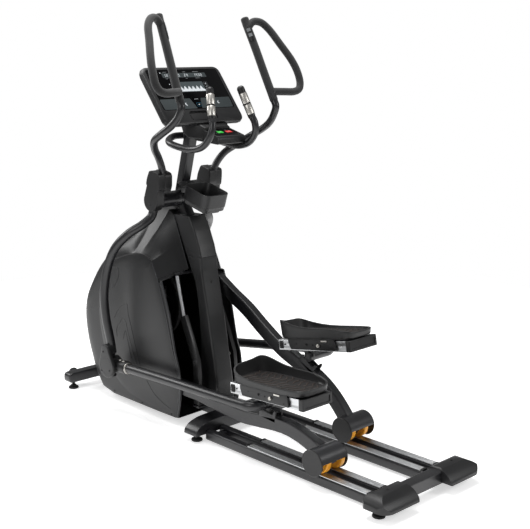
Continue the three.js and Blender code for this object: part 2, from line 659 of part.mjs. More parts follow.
// ---------------------------------------------------------------- links, pedal rails and pedals
function linkArm(side) {
  const pivot = lowerPivot(side.lean);
  const group = frameAt(pivot.x, pivot.y, -rad(side.tilt));
  const bush = drumX(BUSH_X, 40);
  const sleeve = rodBetween(v3(LINK_X, -38, 0), v3(LINK_X, -112, -2), 30.5, 16);
  const arm = tube([
    v3(LINK_X, -40, -1), v3(LINK_X, -400, -9), v3(LINK_X, -LINK_TO_PIVOT + 70, -LINK_DROP),
    v3(LINK_X - 3, -LINK_TO_PIVOT + 34, -LINK_DROP), v3(LINK_X - 14, -LINK_TO_PIVOT + 13, -LINK_DROP),
    v3(LINK_X - 36, -LINK_TO_PIVOT, -LINK_DROP), v3(LINK_X - 70, -LINK_TO_PIVOT, -LINK_DROP),
    v3(104, -LINK_TO_PIVOT, -LINK_DROP),
  ], 21, 22, 10);
  const gussets = [[110, 118], [203, 211]].map((x) => block(
    x,
    [-LINK_TO_PIVOT - 26, -LINK_TO_PIVOT + 26],
    [-LINK_DROP, RAIL_BASE - GAP],
  ));
  const body = cut(join(bush, sleeve, arm, ...gussets), drumX([200, 300], 14.5, 0, 0, 20));
  piece(`link_arm_${side.name}`, forSide(body, side), 'frame', group);

  const [inner, outer] = RAIL_X;
  const top = RAIL_BASE + RAIL_HEIGHT;
  const rail = block([inner, outer], [-RAIL_TO, -RAIL_FROM], [RAIL_BASE, top]);
  const channel = block([inner + 5, outer - 5], [-RAIL_TO - 5, -RAIL_FROM + 5], [RAIL_BASE + 5, top - 5]);
  const mouth = block([inner + 34, outer - 34], [-RAIL_TO - 5, -RAIL_FROM + 5], [top - 10, top + 5]);
  piece(`pedal_rail_${side.name}`, forSide(cut(rail, channel, mouth), side), 'aluminium', group);
  pedal(side, group);
}

const PEDAL = { from: 800, to: 1180, x: [80, 252], floor: 66 };

// Height of the pedal wall around its rim: tall at the toe and the inner side, low at the heel.
function pedalWall(angle) {
  const toe = Math.max(0, Math.sin(angle));
  const innerSide = Math.max(0, -Math.cos(angle));
  return 20 + 42 * toe ** 0.8 + 34 * innerSide * (0.6 + 0.4 * Math.sin(angle));
}

function pedal(side, group) {
  const top = RAIL_BASE + RAIL_HEIGHT;
  const centre = v2((PEDAL.x[0] + PEDAL.x[1]) / 2, -(PEDAL.from + PEDAL.to) / 2);
  const half = v2((PEDAL.x[1] - PEDAL.x[0]) / 2, (PEDAL.to - PEDAL.from) / 2);
  const ring = (inset, height) => Array.from({ length: 32 }, (_, i) => {
    const angle = (2 * Math.PI * i) / 32;
    const [c, s] = [Math.cos(angle), Math.sin(angle)];
    const x = centre.x + (half.x - inset) * Math.sign(c) * Math.abs(c) ** 0.55;
    const y = centre.y + (half.y - inset) * Math.sign(s) * Math.abs(s) ** 0.6;
    return v3(x, y, height(angle));
  });
  const rim = (angle) => PEDAL.floor + pedalWall(angle);
  const shell = loft([
    ring(10, () => PEDAL.floor - 8),
    ring(3, () => PEDAL.floor),
    ring(0, rim),
    ring(5, rim),
    ring(11, () => PEDAL.floor + 6),
  ], v3(centre.x, centre.y, PEDAL.floor - 8), v3(centre.x, centre.y, PEDAL.floor + 6));
  const seat = [-PEDAL.to + 50, -PEDAL.from - 62];
  const cheekSpan = [-PEDAL.to + 60, -PEDAL.from - 70];
  const carriage = block([RAIL_X[0] + 1, RAIL_X[1] - 1], seat, [top + GAP, PEDAL.floor]);
  const cheek = block([RAIL_X[1] + 2, RAIL_X[1] + 12], cheekSpan, [top - 36, PEDAL.floor]);
  const bridge = block([RAIL_X[1] - 6, RAIL_X[1] + 12], cheekSpan, [top + 2, PEDAL.floor]);
  piece(`pedal_${side.name}`, forSide(join(shell, carriage, cheek, bridge), side), 'plastic', group);
}

// ---------------------------------------------------------------- connecting arms and rollers
const DRUM_X = [91, 263];
const DRUM_RADIUS = 56;
const AXLE_RADIUS = 8;
const SLEEVE_RADIUS = 12;
const LUG = { along: 320, rise: 115, reach: 46, slot: 36, floor: 79 };

function connectingArm(side) {
  const group = frameAt(rollerY(side), ROLLER_Z, armAngle(side));
  const centreLine = new THREE.SplineCurve([
    v2(0, 0), v2(60, 22), v2(130, 40), v2(200, 48), v2(270, 44), v2(380, 24), v2(480, 8), v2(620, 6),
    v2(740, 10), v2(860, 2), v2(1080, 0), v2(ARM_LENGTH, 0),
  ]).getPoints(20);
  const bar = prismX(ribbon(centreLine, 30), ARM_X);
  const eye = drumX(ARM_X, 30, ARM_LENGTH, 0);
  const eyeBore = drumX([ARM_X[0] - 5, ARM_X[1] + 5], 14, ARM_LENGTH, 0, 20);
  const [rear, front] = [LUG.along - LUG.reach, LUG.along + LUG.reach];
  const cheekOutline = polygon([
    [rear, 50], [front, 50], [front, LUG.rise - 10],
    [LUG.along + LUG.slot, LUG.rise - 6], [LUG.along + LUG.slot - 6, LUG.floor],
    [LUG.along - LUG.slot + 6, LUG.floor], [LUG.along - LUG.slot, LUG.rise + 4], [rear, LUG.rise + 4],
  ]);
  const cheeks = [[ARM_X[0], ARM_X[0] + 7], [ARM_X[1] - 7, ARM_X[1]]].map((x) => prismX(cheekOutline, x));
  const drum = drumX(DRUM_X, DRUM_RADIUS, 0, 0, 24);
  const wheelRooms = WHEEL_X.map((x) => drumX([x - 14.5, x + 14.5], WHEEL_RADIUS + 2, 0, 0, 24));
  const turn = -armAngle(side);
  const open = block([DRUM_X[0] + 6, DRUM_X[1] - 6], [-90, 90], [-140, -14]).rotateX(turn);
  const sleeveRoom = drumX([WHEEL_X[0] - 14, WHEEL_X[1] + 14], SLEEVE_RADIUS + 1.5, 0, 0, 16);
  const axleRoom = drumX([DRUM_X[0] + 4, DRUM_X[1] - 4], AXLE_RADIUS + 0.6, 0, 0, 16);
  const body = cut(join(bar, eye, drum, ...cheeks), eyeBore, ...wheelRooms, open, sleeveRoom, axleRoom);
  piece(`connecting_arm_${side.name}`, forSide(body, side), 'frame', group);

  const bore = AXLE_RADIUS + 0.5;
  const profile = [v2(bore, WHEEL_X[0] - 12)];
  for (const x of WHEEL_X) {
    profile.push(v2(WHEEL_RADIUS - 3, x - 12), v2(WHEEL_RADIUS, x - 9));
    profile.push(v2(WHEEL_RADIUS, x + 9), v2(WHEEL_RADIUS - 3, x + 12));
    if (x === WHEEL_X[0]) profile.push(v2(SLEEVE_RADIUS, x + 12), v2(SLEEVE_RADIUS, WHEEL_X[1] - 12));
  }
  profile.push(v2(bore, WHEEL_X[1] + 12), v2(bore, WHEEL_X[0] - 12));
  const wheels = new THREE.LatheGeometry(profile, 20).rotateZ(-Math.PI / 2);
  piece(`roller_pair_${side.name}`, forSide(wheels, side), 'orange', group);
  const axle = drumX([DRUM_X[0] + 4 + GAP, DRUM_X[1] - 4 - GAP], AXLE_RADIUS, 0, 0, 16);
  piece(`roller_axle_${side.name}`, forSide(axle, side), 'steel', group);
}

floorFrame();
transportWheels();
levellingFeet();
railsAndTracks();
rearCaps();
frameMast();
driveTrain();
shroud();
slotStruts();
accessoryTray();
consoleParts();
fixedHandlebar();
for (const side of SIDES) {
  swingArm(side);
  linkArm(side);
  connectingArm(side);
}

export default trainer;
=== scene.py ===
"""Elliptical trainer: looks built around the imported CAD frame. Shapes are drawn in millimetres."""
import json
import math

import bmesh
import bpy
import numpy as np
from mathutils import Matrix, Vector


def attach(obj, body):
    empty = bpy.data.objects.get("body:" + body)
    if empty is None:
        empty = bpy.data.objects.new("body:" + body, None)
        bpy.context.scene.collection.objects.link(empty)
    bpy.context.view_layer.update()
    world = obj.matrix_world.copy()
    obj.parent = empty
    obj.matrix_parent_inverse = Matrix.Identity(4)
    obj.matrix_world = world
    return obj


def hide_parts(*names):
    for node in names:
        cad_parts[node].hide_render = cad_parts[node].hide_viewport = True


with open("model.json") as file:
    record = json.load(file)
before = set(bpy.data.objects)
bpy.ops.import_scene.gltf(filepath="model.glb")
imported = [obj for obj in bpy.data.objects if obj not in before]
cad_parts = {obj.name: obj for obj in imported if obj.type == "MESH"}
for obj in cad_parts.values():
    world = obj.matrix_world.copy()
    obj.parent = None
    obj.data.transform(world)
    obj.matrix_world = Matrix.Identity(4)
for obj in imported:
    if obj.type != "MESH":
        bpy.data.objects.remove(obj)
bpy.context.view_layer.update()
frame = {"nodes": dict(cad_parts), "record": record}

# ---------------------------------------------------------------- driving dimensions, in millimetres
MM = 0.001
CRANK = (581, 482, 273)
ARM_LENGTH = 1252
ROLLER_Z = 106.3
PIVOT = (395, 1000)
SWING_RADIUS = 802
LEAN = 15.2
LINK_BACK, LINK_DROP, LINK_X = 935, 23, 262
RAIL_X, RAIL_Y, RAIL_Z = (82, 248), (-1200, -790), (8, 53)
ARM_X = (137, 180)
TRACK_X = (122, 201)
CONSOLE = (310.5, 1464, 38.3)
SIDES = (
    dict(name="left", sign=-1, crank=2.3, lean=14.07, tilt=3.35),
    dict(name="right", sign=1, crank=182.3, lean=16.4, tilt=10.6),
)


UPRIGHT = Matrix.Rotation(math.radians(-90), 4, "Y")
ALONG_Y = Matrix.Rotation(math.radians(-90), 4, "Z")


def at(y=0, z=0, turn=0):
    """A place in the side plane, turned about X by that many degrees."""
    return Matrix.Translation((0, y, z)) @ Matrix.Rotation(math.radians(turn), 4, "X")


def lower_pivot(lean):
    """The lower end of a swing arm at that lean, as (y, z)."""
    a = math.radians(lean)
    return PIVOT[0] + SWING_RADIUS * math.sin(a), PIVOT[1] - SWING_RADIUS * math.cos(a)


def arm_place(side):
    """From the rollers' axle to the crank pin."""
    a = math.radians(side["crank"])
    pin_y = CRANK[0] + CRANK[2] * math.sin(a)
    rise = CRANK[1] - CRANK[2] * math.cos(a) - ROLLER_Z
    run = math.sqrt(ARM_LENGTH**2 - rise**2)
    return at(pin_y - run, ROLLER_Z, math.degrees(math.atan2(rise, run)))


def link_place(side):
    y, z = lower_pivot(side["lean"])
    return at(y, z, -side["tilt"])


def swing_place(side):
    return at(PIVOT[0], PIVOT[1], side["lean"] - LEAN)


# ---------------------------------------------------------------- materials
def material(name, colour, rough, metal=0.0, **shader):
    """A principled material whose colour, roughness and surface vary with procedural noise."""
    look = dict(mottle=0.12, mottle_scale=9, grain=700, bump=0.12, bump_mm=0.2, streak=None, worn=0.0)
    look.update({k: shader.pop(k) for k in list(shader) if k in look})
    mat = bpy.data.materials.new(name)
    mat.use_nodes = True
    nodes, links = mat.node_tree.nodes, mat.node_tree.links
    bsdf = nodes["Principled BSDF"]
    bsdf.inputs["Metallic"].default_value = metal
    for key, value in shader.items():
        bsdf.inputs[key].default_value = value

    def node(kind, **values):
        made = nodes.new(kind)
        for key, value in values.items():
            if hasattr(made, key):
                setattr(made, key, value)
            else:
                made.inputs[key].default_value = value
        return made

    place = node("ShaderNodeTexCoord")
    stretch = node("ShaderNodeMapping")
    stretch.inputs["Scale"].default_value = look["streak"] or (1, 1, 1)
    links.new(place.outputs["Object"], stretch.inputs["Vector"])

    broad = node("ShaderNodeTexNoise", **{"Scale": look["mottle_scale"], "Detail": 3.0})
    links.new(place.outputs["Object"], broad.inputs["Vector"])
    fine = node("ShaderNodeTexNoise", **{"Scale": look["grain"], "Detail": 2.0})
    links.new(stretch.outputs["Vector"], fine.inputs["Vector"])

    tone = node("ShaderNodeValToRGB")
    dark = [c * (1 - look["mottle"]) for c in colour]
    light = [min(1, c * (1 + look["mottle"])) for c in colour]
    tone.color_ramp.elements[0].position = 0.3
    tone.color_ramp.elements[0].color = (*dark, 1)
    tone.color_ramp.elements[1].position = 0.7
    tone.color_ramp.elements[1].color = (*light, 1)
    links.new(broad.outputs["Fac"], tone.inputs["Fac"])
    base = tone.outputs["Color"]
    if look["worn"]:
        edges = node("ShaderNodeNewGeometry")
        ramp = node("ShaderNodeValToRGB")
        ramp.color_ramp.elements[0].position = 0.53
        ramp.color_ramp.elements[0].color = (0, 0, 0, 1)
        ramp.color_ramp.elements[1].position = 0.62
        ramp.color_ramp.elements[1].color = (look["worn"],) * 3 + (1,)
        links.new(edges.outputs["Pointiness"], ramp.inputs["Fac"])
        mix = node("ShaderNodeMix", data_type="RGBA")
        links.new(ramp.outputs["Color"], mix.inputs["Factor"])
        links.new(base, mix.inputs[6])
        mix.inputs[7].default_value = (*[min(1, c * 3 + 0.03) for c in colour], 1)
        base = mix.outputs[2]
    links.new(base, bsdf.inputs["Base Color"])

    gloss = node("ShaderNodeMapRange", **{"To Min": rough - 0.05, "To Max": rough + 0.07})
    links.new((fine if look["streak"] else broad).outputs["Fac"], gloss.inputs["Value"])
    links.new(gloss.outputs["Result"], bsdf.inputs["Roughness"])
    bump = node("ShaderNodeBump", **{"Strength": look["bump"], "Distance": look["bump_mm"] * MM})
    links.new(fine.outputs["Fac"], bump.inputs["Height"])
    links.new(bump.outputs["Normal"], bsdf.inputs["Normal"])
    return mat


PAINT = material("satin_black_paint", (0.006, 0.006, 0.0075), 0.36, grain=160, bump=0.05, bump_mm=0.4,
                 worn=0.25, **{"Coat Weight": 0.25, "Coat Roughness": 0.25})
SHELL = material("charcoal_moulding", (0.009, 0.0092, 0.0098), 0.38, grain=1500, bump=0.22, bump_mm=0.12,
                 worn=0.2)
# Lighter and glossier than the charcoal shell: painted highlight on the housing's crest, edge and join beads,
# and the trim colour of the strut bolt seats and rail bolts
HIGHLIGHT_AND_TRIM = material("painted_highlight_and_trim", (0.035, 0.036, 0.038), 0.24, grain=900, bump=0.05, bump_mm=0.1)
DARK = material("black_moulding", (0.005, 0.005, 0.0055), 0.42, grain=1300, bump=0.2, bump_mm=0.12)
PEDAL_FINISH = material("pedal_moulding", (0.011, 0.011, 0.0115), 0.42, grain=1000, bump=0.35, bump_mm=0.15,
                        worn=0.3)
RIB = material("pedal_treads", (0.034, 0.024, 0.020), 0.5, grain=700, bump=0.2, bump_mm=0.2, mottle=0.3)
MAT = material("pedal_rubber", (0.008, 0.006, 0.0055), 0.6, grain=900, bump=0.4, bump_mm=0.2, mottle=0.4,
               mottle_scale=60)
FOAM = material("grip_foam", (0.007, 0.007, 0.0075), 0.75, grain=1600, bump=0.6, bump_mm=0.3, mottle=0.2,
                **{"Sheen Weight": 0.25, "Sheen Roughness": 0.5})
RUBBER = material("black_rubber", (0.008, 0.008, 0.008), 0.75, grain=900, bump=0.4)
ALUMINIUM = material("brushed_aluminium", (0.62, 0.63, 0.64), 0.3, 1.0, grain=40, streak=(30, 0.4, 30),
                     bump=0.15,
                     mottle=0.06)
PLATED = material("plated_steel", (0.62, 0.6, 0.56), 0.36, 1.0, grain=500, bump=0.01, bump_mm=0.03,
                  mottle=0.05)
ORANGE = material("orange_urethane", (1.0, 0.4, 0.012), 0.4, grain=500, bump=0.15, mottle=0.1,
                  **{"Subsurface Weight": 0.08})
GLASS = material("display_gloss", (0.0015, 0.0015, 0.0018), 0.12, grain=60, bump=0.02, bump_mm=0.05,
                 mottle=0.3,
                 **{"Specular IOR Level": 0.12})
SLATE = material("display_slate", (0.030, 0.038, 0.040), 0.35, grain=300, bump=0.02, mottle=0.1)
WINDOW = material("display_window", (0.045, 0.058, 0.062), 0.3, grain=300, bump=0.02, mottle=0.15)
LEGEND = material("printed_marks", (0.55, 0.58, 0.6), 0.5, grain=400, bump=0.05)
FAINT = material("faint_marks", (0.16, 0.17, 0.175), 0.5, grain=400, bump=0.05)
BLUE = material("blue_outline", (0.012, 0.10, 0.16), 0.4, grain=400, bump=0.05)
GREEN = material("green_key", (0.03, 0.5, 0.05), 0.35, grain=500, bump=0.1)
RED = material("red_key", (0.62, 0.03, 0.03), 0.35, grain=500, bump=0.1)


# ---------------------------------------------------------------- shape helpers
def shape(verts, faces):
    bm = bmesh.new()
    made = [bm.verts.new(v) for v in verts]
    for face in faces:
        bm.faces.new([made[i] for i in face])
    return bm


def loft(rings, closed=True, caps=(True, True)):
    count = len(rings[0])
    verts = [tuple(p) for ring in rings for p in ring]
    faces = []
    for k in range(len(rings) - 1):
        for i in range(count if closed else count - 1):
            j = (i + 1) % count
            faces.append((k * count + i, k * count + j, (k + 1) * count + j, (k + 1) * count + i))
    if caps[0]:
        faces.append(tuple(reversed(range(count))))
    if caps[1]:
        faces.append(tuple(range((len(rings) - 1) * count, len(rings) * count)))
    return shape(verts, faces)


def arc(a, b, radius, start, end, count=8):
    turns = np.radians(np.linspace(start, end, count))
    return [(a + radius * math.cos(t), b + radius * math.sin(t)) for t in turns]


def rounded(points, radius, count=4):
    """The outline with each corner turned into a short curve."""
    radii = radius if isinstance(radius, (list, tuple)) else [radius] * len(points)
    result = []
    for i, point in enumerate(points):
        p = np.array(point, float)
        back, ahead = np.array(points[i - 1], float) - p, np.array(points[(i + 1) % len(points)], float) - p
        reach = min(radii[i], 0.48 * np.linalg.norm(back), 0.48 * np.linalg.norm(ahead))
        if reach < 0.2:
            result.append(tuple(p))
            continue
        start, end = p + back / np.linalg.norm(back) * reach, p + ahead / np.linalg.norm(ahead) * reach
        for t in np.linspace(0, 1, count + 1):
            result.append(tuple((1 - t) ** 2 * start + 2 * t * (1 - t) * p + t**2 * end))
    return result


def rectangle(a, b, radius, count=5):
    return rounded([(a[0], b[0]), (a[1], b[0]), (a[1], b[1]), (a[0], b[1])], radius, count)


def prism(outline, span, axis="x"):
    order = {"x": lambda p, s: (s, *p), "y": lambda p, s: (p[0], s, p[1]), "z": lambda p, s: (*p, s)}[axis]
    return loft([[order(p, s) for p in outline] for s in span])


def between(u, low, high, start, end):
    return (high - u) / (high - low) * start + (u - low) / (high - low) * end


def curve(points, per=8):
    """Centripetal spline through points of any dimension."""
    p = np.array(points, float)
    p = np.vstack([2 * p[0] - p[1], p, 2 * p[-1] - p[-2]])
    result = []
    for i in range(1, len(p) - 2):
        q = p[i - 1 : i + 3]
        t = np.concatenate([[0], np.cumsum(np.linalg.norm(np.diff(q, axis=0), axis=1) ** 0.5)])
        for u in np.linspace(t[1], t[2], per, endpoint=False):
            a = [between(u, t[k], t[k + 1], q[k], q[k + 1]) for k in range(3)]
            b = [between(u, t[k], t[k + 2], a[k], a[k + 1]) for k in range(2)]
            result.append(between(u, t[1], t[2], b[0], b[1]))
    return np.vstack([result, p[-2]])


def sweep(path, radius, sides=24, end=0.0):
    """A round tube along a path; end rounds its two ends by that many millimetres."""
    path = np.array(path, float)
    tangents = np.gradient(path, axis=0)
    tangents /= np.linalg.norm(tangents, axis=1)[:, None]
    normal = np.cross(tangents[0], (0.3, 0.2, 1.0))
    normal /= np.linalg.norm(normal)
    radii = np.full(len(path), float(radius)) if np.isscalar(radius) else np.array(radius, float)
    rings = []

    def ring(centre, across, tangent, r):
        other = np.cross(tangent, across)
        turns = np.linspace(0, 2 * math.pi, sides, endpoint=False)
        return [tuple(centre + r * (math.cos(t) * across + math.sin(t) * other)) for t in turns]

    for k, (centre, tangent) in enumerate(zip(path, tangents)):
        normal = normal - tangent * normal.dot(tangent)
        normal /= np.linalg.norm(normal)
        if end and k in (0, len(path) - 1):
            sign = -1 if k == 0 else 1
            steps = [math.radians(a) for a in (0, 25, 50, 72)]
            extra = [
                ring(centre + sign * tangent * end * math.sin(a), normal, tangent,
                     radii[k] - end * (1 - math.cos(a)))
                for a in steps
            ]
            rings += extra[::-1] if k == 0 else extra
        else:
            rings.append(ring(centre, normal, tangent, radii[k]))
    return loft(rings)


def lathe(profile, y=0.0, z=0.0, sides=40):
    """Turns (radius, x) points about an axis along X."""
    turns = np.linspace(0, 2 * math.pi, sides, endpoint=False)
    return loft([[(x, y + r * math.cos(t), z + r * math.sin(t)) for t in turns] for r, x in profile])


def drum(x, radius, y=0.0, z=0.0, soft=1.5, sides=40):
    low, high = x
    profile = [(radius - soft, low), (radius, low + soft), (radius, high - soft), (radius - soft, high)]
    return lathe(profile, y, z, sides)


def ribbon(line, half):
    """The outline of a strip that keeps the same distance each side of a line."""
    line = np.array(line, float)
    tangents = np.gradient(line, axis=0)
    tangents /= np.linalg.norm(tangents, axis=1)[:, None]
    normals = np.stack([-tangents[:, 1], tangents[:, 0]], axis=1)
    half = np.array(half, float).reshape(-1, 1) if not np.isscalar(half) else half
    return [tuple(p) for p in line - normals * half] + [tuple(p) for p in (line + normals * half)[::-1]]


def join(*shapes):
    base = shapes[0]
    for other in shapes[1:]:
        mesh = bpy.data.meshes.new("part")
        other.to_mesh(mesh)
        other.free()
        base.from_mesh(mesh)
        bpy.data.meshes.remove(mesh)
    return base


def moved(bm, matrix):
    bmesh.ops.transform(bm, matrix=matrix, verts=bm.verts)
    return bm


def soften(bm, width, segments=2, limit=35):
    """Rounds every edge sharper than limit degrees."""
    bmesh.ops.remove_doubles(bm, verts=bm.verts, dist=0.02)
    bmesh.ops.recalc_face_normals(bm, faces=bm.faces)
    sharp = [e for e in bm.edges if len(e.link_faces) == 2 and e.calc_face_angle(0) > math.radians(limit)]
    bmesh.ops.bevel(bm, geom=sharp, offset=width, segments=segments, profile=0.6, affect="EDGES",
                    clamp_overlap=True)
    return bm


def scratch(bm):
    bmesh.ops.recalc_face_normals(bm, faces=bm.faces)
    mesh = bpy.data.meshes.new("scratch")
    bm.to_mesh(mesh)
    bm.free()
    obj = bpy.data.objects.new("scratch", mesh)
    bpy.context.scene.collection.objects.link(obj)
    return obj


def carve(base, *tools, how="DIFFERENCE"):
    """Cuts the tools out of the base shape."""
    body = scratch(base)
    cutters = [scratch(t) for t in tools]
    for cutter in cutters:
        mod = body.modifiers.new("cut", "BOOLEAN")
        mod.operation = how
        mod.solver = "EXACT"
        mod.object = cutter
    result = bmesh.new()
    result.from_object(body, bpy.context.evaluated_depsgraph_get())
    for obj in [body, *cutters]:
        mesh = obj.data
        bpy.data.objects.remove(obj)
        bpy.data.meshes.remove(mesh)
    return result


def piece(name, bm, finish, body, place=None, sign=1, replaces=(), smooth=38, wall=0.0):
    """Makes the object, puts it in its place, gives it its finish, ties it to its body and hides the CAD
    nodes it replaces.
    """
    mirror = Matrix.Diagonal((sign, 1, 1, 1))
    moved(bm, Matrix.Scale(MM, 4) @ (place or Matrix()) @ mirror)
    bmesh.ops.remove_doubles(bm, verts=bm.verts, dist=0.01 * MM)
    bmesh.ops.recalc_face_normals(bm, faces=bm.faces)
    mesh = bpy.data.meshes.new(name)
    bm.to_mesh(mesh)
    bm.free()
    mesh.shade_smooth()
    mesh.set_sharp_from_angle(angle=math.radians(smooth))
    mesh.materials.append(finish)
    obj = bpy.data.objects.new(name, mesh)
    bpy.context.scene.collection.objects.link(obj)
    if wall:
        mod = obj.modifiers.new("wall", "SOLIDIFY")
        mod.thickness = wall * MM
        mod.offset = -1
    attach(obj, body)
    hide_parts(*replaces)
    return obj


def screw(name, spot, radius, body, place=None, sign=1, axis="x", finish=None):
    """A round screw head with a hexagon socket, facing outwards along its axis."""
    head = lathe([(radius, -1.5), (radius, 0.8), (radius * 0.8, 1.6), (radius * 0.5, 1.6),
                  (radius * 0.42, 0.2)], sides=24)
    if axis == "z":
        moved(head, UPRIGHT)
    if axis == "y":
        moved(head, ALONG_Y)
    moved(head, Matrix.Translation(spot))
    return piece(name, head, finish or DARK, body, place, sign)


# ---------------------------------------------------------------- camera, floor and light
CAMERA_SPOT = (-2.998, -3.187, 1.672)
CAMERA_AIM = (0.668, 0.715, -0.207)
LENS_MM = 70.42
SENSOR_MM = 36
LENS_SHIFT = (0.0504, 0.001)
FLOOR_RADIUS = 3.4
FLOOR_GLOW = 0.55
SKY_STRENGTH = 0.26
# name, place, target, size in metres, power in watts
LAMPS = (
    ("key_light", (-3.6, -0.4, 2.6), (0, 0.1, 0.7), 1.8, 34),
    ("rear_light", (1.8, -3.4, 2.4), (0, 0, 0.6), 1.4, 40),
    ("top_light", (0.0, 0.5, 4.2), (0, 0, 0.6), 2.2, 125),
    ("front_light", (-1.6, 3.6, 2.8), (0, 0.3, 0.9), 1.8, 60),
)


def studio():
    camera = bpy.data.objects.new("camera", bpy.data.cameras.new("camera"))
    bpy.context.scene.collection.objects.link(camera)
    camera.location = CAMERA_SPOT
    camera.rotation_euler = Vector(CAMERA_AIM).to_track_quat("-Z", "Y").to_euler()
    camera.data.lens = LENS_MM
    camera.data.sensor_width = SENSOR_MM
    camera.data.shift_x, camera.data.shift_y = LENS_SHIFT
    bpy.context.scene.camera = camera

    bpy.ops.mesh.primitive_circle_add(radius=FLOOR_RADIUS, vertices=128, fill_type="NGON", location=(0, 0, 0))
    floor = bpy.context.object
    floor.name = "studio_floor"
    mat = bpy.data.materials.new("studio_floor")
    mat.use_nodes = True
    bsdf = mat.node_tree.nodes["Principled BSDF"]
    bsdf.inputs["Base Color"].default_value = (0.9, 0.9, 0.9, 1)
    bsdf.inputs["Roughness"].default_value = 0.8
    bsdf.inputs["Specular IOR Level"].default_value = 0.1
    bsdf.inputs["Emission Color"].default_value = (1, 1, 1, 1)
    bsdf.inputs["Emission Strength"].default_value = FLOOR_GLOW
    floor.data.materials.append(mat)

    world = bpy.data.worlds.new("studio")
    bpy.context.scene.world = world
    world.use_nodes = True
    sky = world.node_tree.nodes["Background"]
    sky.inputs["Color"].default_value = (1, 1, 1, 1)
    sky.inputs["Strength"].default_value = SKY_STRENGTH
    white = world.node_tree.nodes.new("ShaderNodeBackground")
    white.inputs["Color"].default_value = (1, 1, 1, 1)
    mix = world.node_tree.nodes.new("ShaderNodeMixShader")
    rays = world.node_tree.nodes.new("ShaderNodeLightPath")
    links = world.node_tree.links
    links.new(rays.outputs["Is Camera Ray"], mix.inputs[0])
    links.new(sky.outputs[0], mix.inputs[1])
    links.new(white.outputs[0], mix.inputs[2])
    links.new(mix.outputs[0], world.node_tree.nodes["World Output"].inputs["Surface"])
    for lamp in LAMPS:
        soft_box(*lamp)
    bpy.context.scene.view_settings.view_transform = "Standard"


def soft_box(name, location, target, size, power):
    lamp = bpy.data.objects.new(name, bpy.data.lights.new(name, "AREA"))
    bpy.context.scene.collection.objects.link(lamp)
    lamp.location = location
    lamp.rotation_euler = (Vector(target) - Vector(location)).to_track_quat("-Z", "Y").to_euler()
    lamp.data.size = size
    lamp.data.energy = power


# ---------------------------------------------------------------- crank housing
CORE = np.array([560.0, 440.0])
# rows are y, z, half width at the rim, and how square the turn to the rim is
SLOT_EDGE = [(220, 35, 180, 1.2), (198, 140, 182, 1.2), (203, 258, 183, 1.2), (231, 345, 183, 1.2),
             (268, 506, 184, 1.2), (320, 652, 185, 1.2)]
SPINE_JOIN = [(296, 693, 50.2, 1.0), (346, 812, 50.2, 0.95), (392, 922, 50.2, 0.9)]
NECK = [(414, 948, 62, 0.9), (492, 950, 66, 0.9)]
FRONT = [(522, 930, 58, 1.1), (606, 848, 45, 1.7), (700, 766, 40, 2.6), (798, 670, 40, 3.8),
         (884, 564, 40, 4.6), (938, 472, 40, 5.0), (956, 380, 40, 5.0), (942, 270, 40, 5.0),
         (904, 172, 60, 5.0), (862, 98, 100, 5.0), (796, 46, 160, 5.0)]
BASE = [(700, 33, 178, 5.0), (400, 33, 180, 4.0), (240, 33, 180, 3.0)]
PANEL_REAR = [(240, 52), (210, 150), (216, 258), (246, 345), (291, 504), (350, 656), (388, 733)]
PANEL_FRONT = [(388, 733), (464, 753), (560, 735), (658, 699), (735, 630), (780, 540), (795, 450),
               (785, 340), (745, 225), (680, 130), (590, 78), (450, 52), (330, 46), (240, 52)]
RIM_WIDTH = 190


def polar(points):
    """Angles in degrees and distances about the core."""
    rel = np.array(points, float)[:, :2] - CORE
    return np.degrees(np.arctan2(rel[:, 1], rel[:, 0])) % 360, np.linalg.norm(rel, axis=1)


def spread(points, step=9):
    """Straight runs between rows, sampled evenly."""
    rows = [np.array(points[0], float)]
    for a, b in zip(points, points[1:]):
        a, b = np.array(a, float), np.array(b, float)
        count = max(1, int(np.linalg.norm((b - a)[:2]) / step))
        rows += [a + (b - a) * k / count for k in range(1, count + 1)]
    return rows


OUTLINE = np.array([
    *curve(SLOT_EDGE, 10),
    *spread([SLOT_EDGE[-1], *SPINE_JOIN], 5)[1:],
    *spread([SPINE_JOIN[-1], *NECK], 6)[1:],
    *spread([NECK[-1], FRONT[0]])[1:],
    *curve(FRONT, 9)[1:],
    *spread([FRONT[-1], *BASE, SLOT_EDGE[0]])[1:-1],
])
PANEL = np.array([*curve(PANEL_REAR, 8), *curve(PANEL_FRONT, 8)[1:]])


def around(points, values):
    """Looks values up by angle about the core, all the way round."""
    angle, _ = polar(points)
    order = np.argsort(angle)
    angle, values = angle[order], np.array(values)[order]
    angle = np.concatenate([angle[-1:] - 360, angle, angle[:1] + 360])
    values = np.concatenate([values[-1:], values, values[:1]])
    return lambda a: np.interp(np.asarray(a) % 360, angle, values)


panel_reach = around(PANEL, polar(PANEL)[1])
rim_reach = around(OUTLINE, polar(OUTLINE)[1])
rim_width = around(OUTLINE, OUTLINE[:, 2])
rim_turn = around(OUTLINE, OUTLINE[:, 3])


def panel_width(y, z, share):
    trough = 5 * math.exp(-(((y - 610) / 70) ** 2)) * math.exp(-(((z - 560) / 190) ** 4))
    return RIM_WIDTH + 5 * (1 - share**16) + 3 * (1 - share**2) - trough * (1 - share**6)


def housing_width(y, z):
    """Half width of the housing's side at a place."""
    (angle,), (reach,) = polar([(y, z)])
    inner, outer = float(panel_reach(angle)), float(rim_reach(angle))
    if reach <= inner:
        return panel_width(y, z, reach / inner)
    t = min(1, (reach - inner) / (outer - inner))
    edge, turn = float(rim_width(angle)), float(rim_turn(angle))
    return edge + (RIM_WIDTH - edge) * (1 - t**turn) ** (1 / turn)


